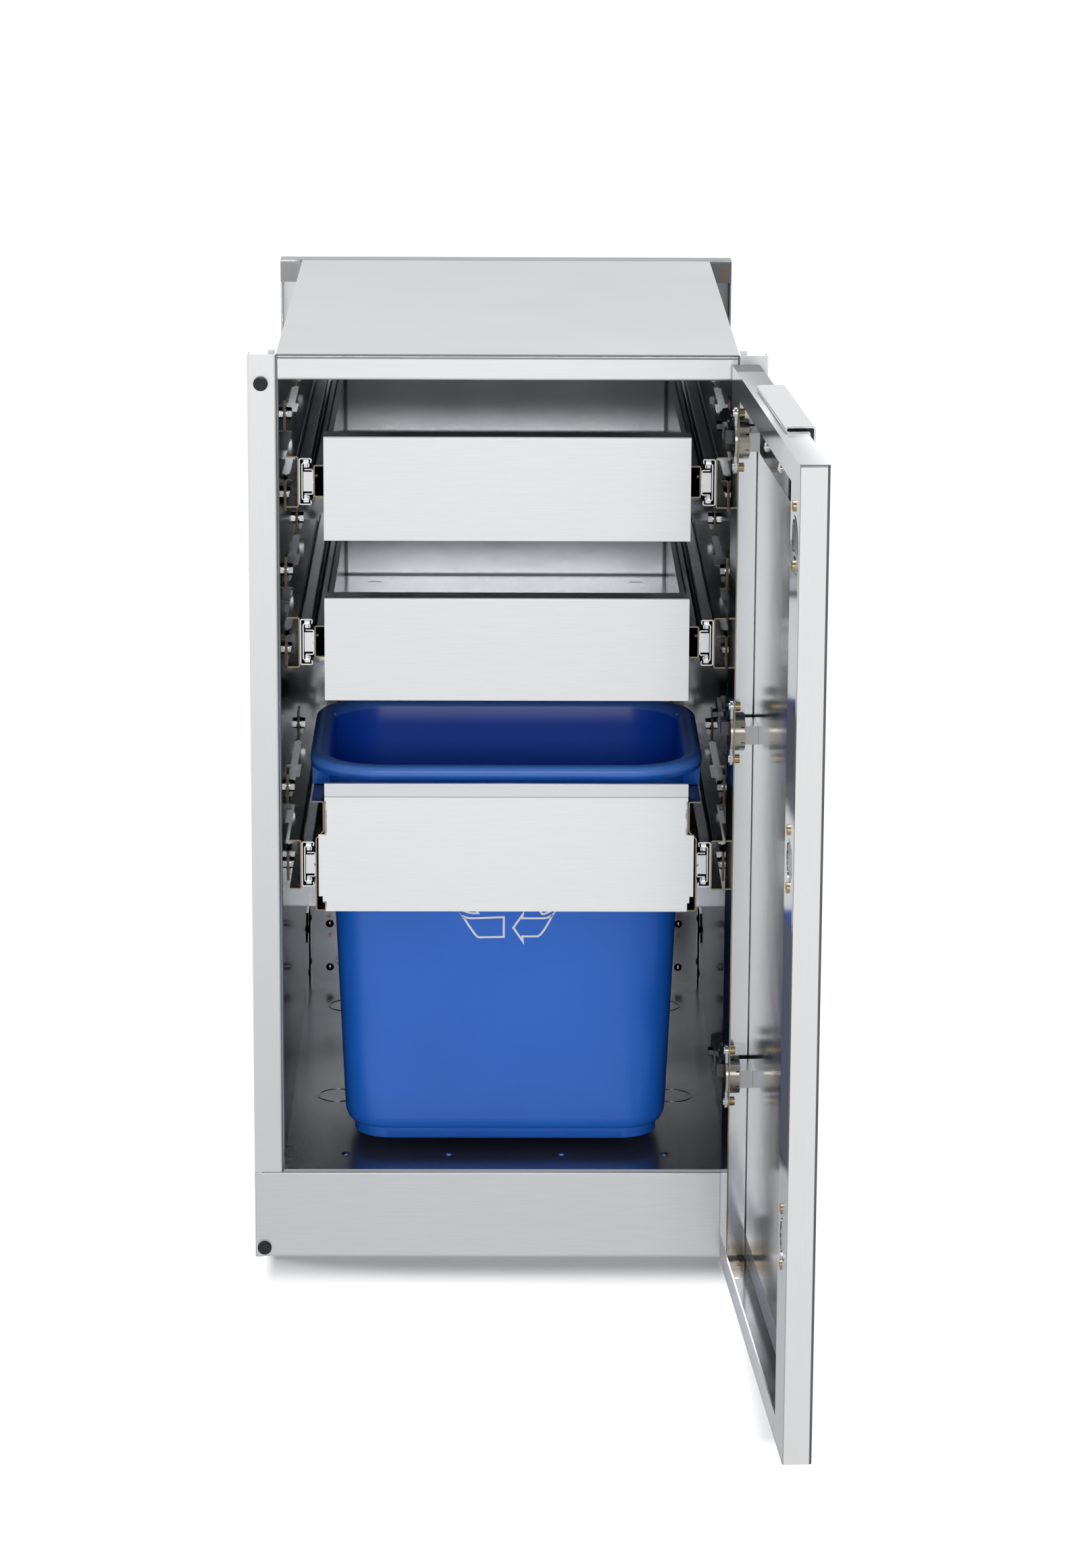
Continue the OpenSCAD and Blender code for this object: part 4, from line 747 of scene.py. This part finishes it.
def model_mark():
    """Outlines drawn point by point, filled, inset to a line and given the thickness of ink."""
    low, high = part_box("waste_bin")
    middle = (low + high) / 2
    base = Vector((middle.x + 0.0022, middle.y - 0.1078, 0.295))
    lean = math.radians(-2.9)
    for name, outline in MARK_OUTLINES.items():
        made = add_plane(base, (0.01, 0.01))
        bpy.ops.mesh.select_all(action="SELECT")
        bpy.ops.mesh.merge(type="CENTER")
        here = Vector((0, 0, 0))
        for x, z in outline:
            there = Vector((x * MARK_SCALE * MM, 0, z * MARK_SCALE * MM))
            bpy.ops.mesh.extrude_region_move(TRANSFORM_OT_translate={"value": there - here})
            here = there
        bpy.ops.object.mode_set(mode="OBJECT")
        made.data.vertices[0].select = True
        for vertex in made.data.vertices[1:]:
            vertex.select = False
        for edge in made.data.edges:
            edge.select = False
        bpy.ops.object.mode_set(mode="EDIT")
        bpy.ops.mesh.delete(type="VERT")
        bpy.ops.mesh.select_all(action="SELECT")
        bpy.ops.mesh.edge_face_add()
        bpy.ops.mesh.inset(thickness=0.0018, depth=0, use_even_offset=True)
        bpy.ops.mesh.delete(type="FACE")
        bpy.ops.mesh.select_all(action="SELECT")
        bpy.ops.mesh.extrude_region_move(TRANSFORM_OT_translate={"value": (0, 0.0004, 0)})
        bpy.ops.mesh.select_all(action="SELECT")
        bpy.ops.transform.rotate(value=lean, orient_axis="X", center_override=base)
        made = start_piece(name, "waste_bin_body", white_ink)
        finish_piece(made)


def model_insert_collars():
    """Brass collars of the threaded inserts on the free side's flange: one modelled, five copied.
    The names run 1 and then 3 to 7."""
    ends = [v.co for v in nodes["cup_screw_inserts"].data.vertices if v.co.y < door_low.y + 0.06]
    face_x = min(co.x for co in ends)
    row_y = (min(co.y for co in ends) + max(co.y for co in ends)) / 2
    heights = [(low.z + high.z) / 2 + side * CUP_SCREW_REACH
               for low, high in cup_boxes for side in (-1, 1)]
    bpy.ops.object.select_all(action="DESELECT")
    bpy.ops.mesh.primitive_cylinder_add(
        vertices=24, radius=0.0044, depth=0.0016, location=(face_x - 0.0004, row_y, heights[0]),
        rotation=(0, math.radians(90), DOOR_PAST_SQUARE))
    first = start_piece("insert_collar_1", "door", brass)
    pick(first, lambda co: co.z < 0)
    bpy.ops.mesh.inset(thickness=0.0018, depth=0)
    bpy.ops.mesh.extrude_region_move(TRANSFORM_OT_translate={"value": (0.001, 0, 0)})
    finish_piece(first)
    for number, height in enumerate(heights[1:], 3):
        copy = first.copy()
        copy.data = first.data.copy()
        copy.name = f"insert_collar_{number}"
        bpy.context.scene.collection.objects.link(copy)
        bpy.ops.object.select_all(action="DESELECT")
        copy.select_set(True)
        bpy.context.view_layer.objects.active = copy
        bpy.ops.transform.translate(value=(0, 0, height - heights[0]))
        bpy.ops.object.transform_apply(location=True, rotation=True, scale=True)
        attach(copy, "door")


model_bin()
model_bin_ribs()
model_mark()
model_insert_collars()


def turn_matrix(yaw, pitch, roll):
    """Axes of a camera that looks along +Y, turned to the right, tipped down and rolled."""
    ahead = Vector((math.sin(yaw), math.cos(yaw), 0))
    right = Vector((math.cos(yaw), -math.sin(yaw), 0))
    up = Vector((0, 0, 1))
    look = ahead * math.cos(pitch) - up * math.sin(pitch)
    above = up * math.cos(pitch) + ahead * math.sin(pitch)
    side = right * math.cos(roll) + above * math.sin(roll)
    top = above * math.cos(roll) - right * math.sin(roll)
    return Matrix((side, top, -look)).transposed().to_4x4()


def place_camera():
    """The photograph's camera, from a fit to the cabinet's corners."""
    lens_data = bpy.data.cameras.new("camera")
    camera = bpy.data.objects.new("camera", lens_data)
    bpy.context.scene.collection.objects.link(camera)
    stand = Vector((-0.013, front_y - 3.815, 1.492))
    camera.matrix_world = Matrix.Translation(stand) @ turn_matrix(
        math.radians(0.62), math.radians(12.66), math.radians(0.27))
    lens_data.sensor_fit = "VERTICAL"
    lens_data.sensor_height = 36
    lens_data.lens = 36 * FOCAL_PX / PHOTO_H
    lens_data.shift_y = (AXIS_V - PHOTO_H / 2) / PHOTO_H
    lens_data.clip_end = 50
    bpy.context.scene.camera = camera


def place_floor():
    """A white sweep: lit and shadowed near the cabinet, plain white further away.
    Metal sees it white as well, with painted shade a little darker right in front of the cabinet."""
    bpy.ops.mesh.primitive_plane_add(size=30)
    floor = bpy.context.object
    bpy.ops.object.mode_set(mode="EDIT")
    bpy.ops.transform.translate(value=(0, 8, 0))
    bpy.ops.object.mode_set(mode="OBJECT")
    floor.name = "studio_floor"
    made, tree = new_material("studio floor")
    where = add_node(tree, "ShaderNodeTexCoord")
    off = add_node(tree, "ShaderNodeVectorMath", {"operation": "SUBTRACT"}, {
        0: (where, "Object"), 1: (0, front_y, 0)})
    away = add_node(tree, "ShaderNodeVectorMath", {"operation": "LENGTH"}, {0: (off, "Vector")})
    # Shadows show in front of the base and under the door
    base_left, base_right, door_left, door_right = -0.208, 0.2, 0.22, 0.238
    by_base = times(tree, patch(tree, (base_left, None, None), (base_right, None, None), 0.014),
                    patch(tree, (None, front_y - 0.014, None), (None, front_y + 0.01, None), 0.075))
    by_door = patch(tree, (door_left, door_low.y + 0.06, None), (door_right, front_y, None), 0.022)
    far = add_node(tree, "ShaderNodeMapRange", {}, {
        "Value": either(tree, by_base, by_door), "To Min": 1.0, "To Max": 0.02})
    path = add_node(tree, "ShaderNodeLightPath")
    seen = either(tree, (path, "Is Camera Ray"), (path, "Is Transmission Ray"))
    lit = add_node(tree, "ShaderNodeBsdfDiffuse", inputs={"Color": linear("#F7F7F7")})
    white = add_node(tree, "ShaderNodeEmission", inputs={"Color": linear("#FFFFFF"), "Strength": 1.1})
    camera_look = add_node(tree, "ShaderNodeMixShader", inputs={
        "Fac": times(tree, seen, (far, "Result")), 1: (lit, "BSDF"), 2: (white, "Emission")})
    # Painted shade: as metal sees it, the floor darkens right in front of the cabinet
    mirror_tone = add_node(tree, "ShaderNodeMapRange", {"interpolation_type": "SMOOTHSTEP"}, {
        "Value": (away, "Value"), "From Min": 0.1, "From Max": 3.0, "To Min": 0.8, "To Max": 1.0})
    mirrored = add_node(tree, "ShaderNodeEmission", inputs={
        "Color": linear("#FFFFFF"), "Strength": (mirror_tone, "Result")})
    both = add_node(tree, "ShaderNodeMixShader", inputs={
        "Fac": (path, "Is Glossy Ray"), 1: (camera_look, "Shader"), 2: (mirrored, "Emission")})
    close_material(tree, both, "Shader")
    floor.data.materials.append(made)


def place_world():
    """A white studio, darker behind the camera. As a light it is softer than it looks in metal."""
    world = bpy.data.worlds.new("studio")
    bpy.context.scene.world = world
    world.use_nodes = True
    tree = world.node_tree
    tree.nodes.clear()
    path = add_node(tree, "ShaderNodeLightPath")
    where = add_node(tree, "ShaderNodeTexCoord")
    axes = add_node(tree, "ShaderNodeSeparateXYZ", inputs={"Vector": (where, "Generated")})
    depth = add_node(tree, "ShaderNodeMapRange", {"interpolation_type": "SMOOTHSTEP"}, {
        "Value": (axes, "Y"), "From Min": -0.9, "From Max": 0.2, "To Min": 0.3, "To Max": 0.92})
    plain = either(tree, (path, "Is Camera Ray"), (path, "Is Transmission Ray"))
    mirrored = times(tree, (path, "Is Glossy Ray"), (depth, "Result"))
    strength = either(tree, plain, mirrored, SKY_AS_LIGHT)
    sky = add_node(tree, "ShaderNodeBackground", inputs={
        "Color": linear("#FFFFFF"), "Strength": strength})
    add_node(tree, "ShaderNodeOutputWorld", inputs={"Surface": (sky, "Background")})


def place_lamp(name, at, size, power, aim):
    lamp_data = bpy.data.lights.new(name, "AREA")
    lamp_data.shape = "RECTANGLE"
    lamp_data.size, lamp_data.size_y = size
    lamp_data.energy = power
    lamp = bpy.data.objects.new(name, lamp_data)
    bpy.context.scene.collection.objects.link(lamp)
    lamp.location = at
    lamp.rotation_euler = (Vector(aim) - Vector(at)).to_track_quat("-Z", "Y").to_euler()


def place_lights():
    place_lamp("overhead strip", (-0.1, -0.06, 3.2), (2.0, 0.24), 85, (-0.1, -0.06, 0))
    place_lamp("front softbox", (0.0, -4.7, 1.55), (2.2, 0.7), 34, (0, 0, 0.55))


place_camera()
place_floor()
place_world()
place_lights()
bpy.context.scene.view_settings.view_transform = "Standard"
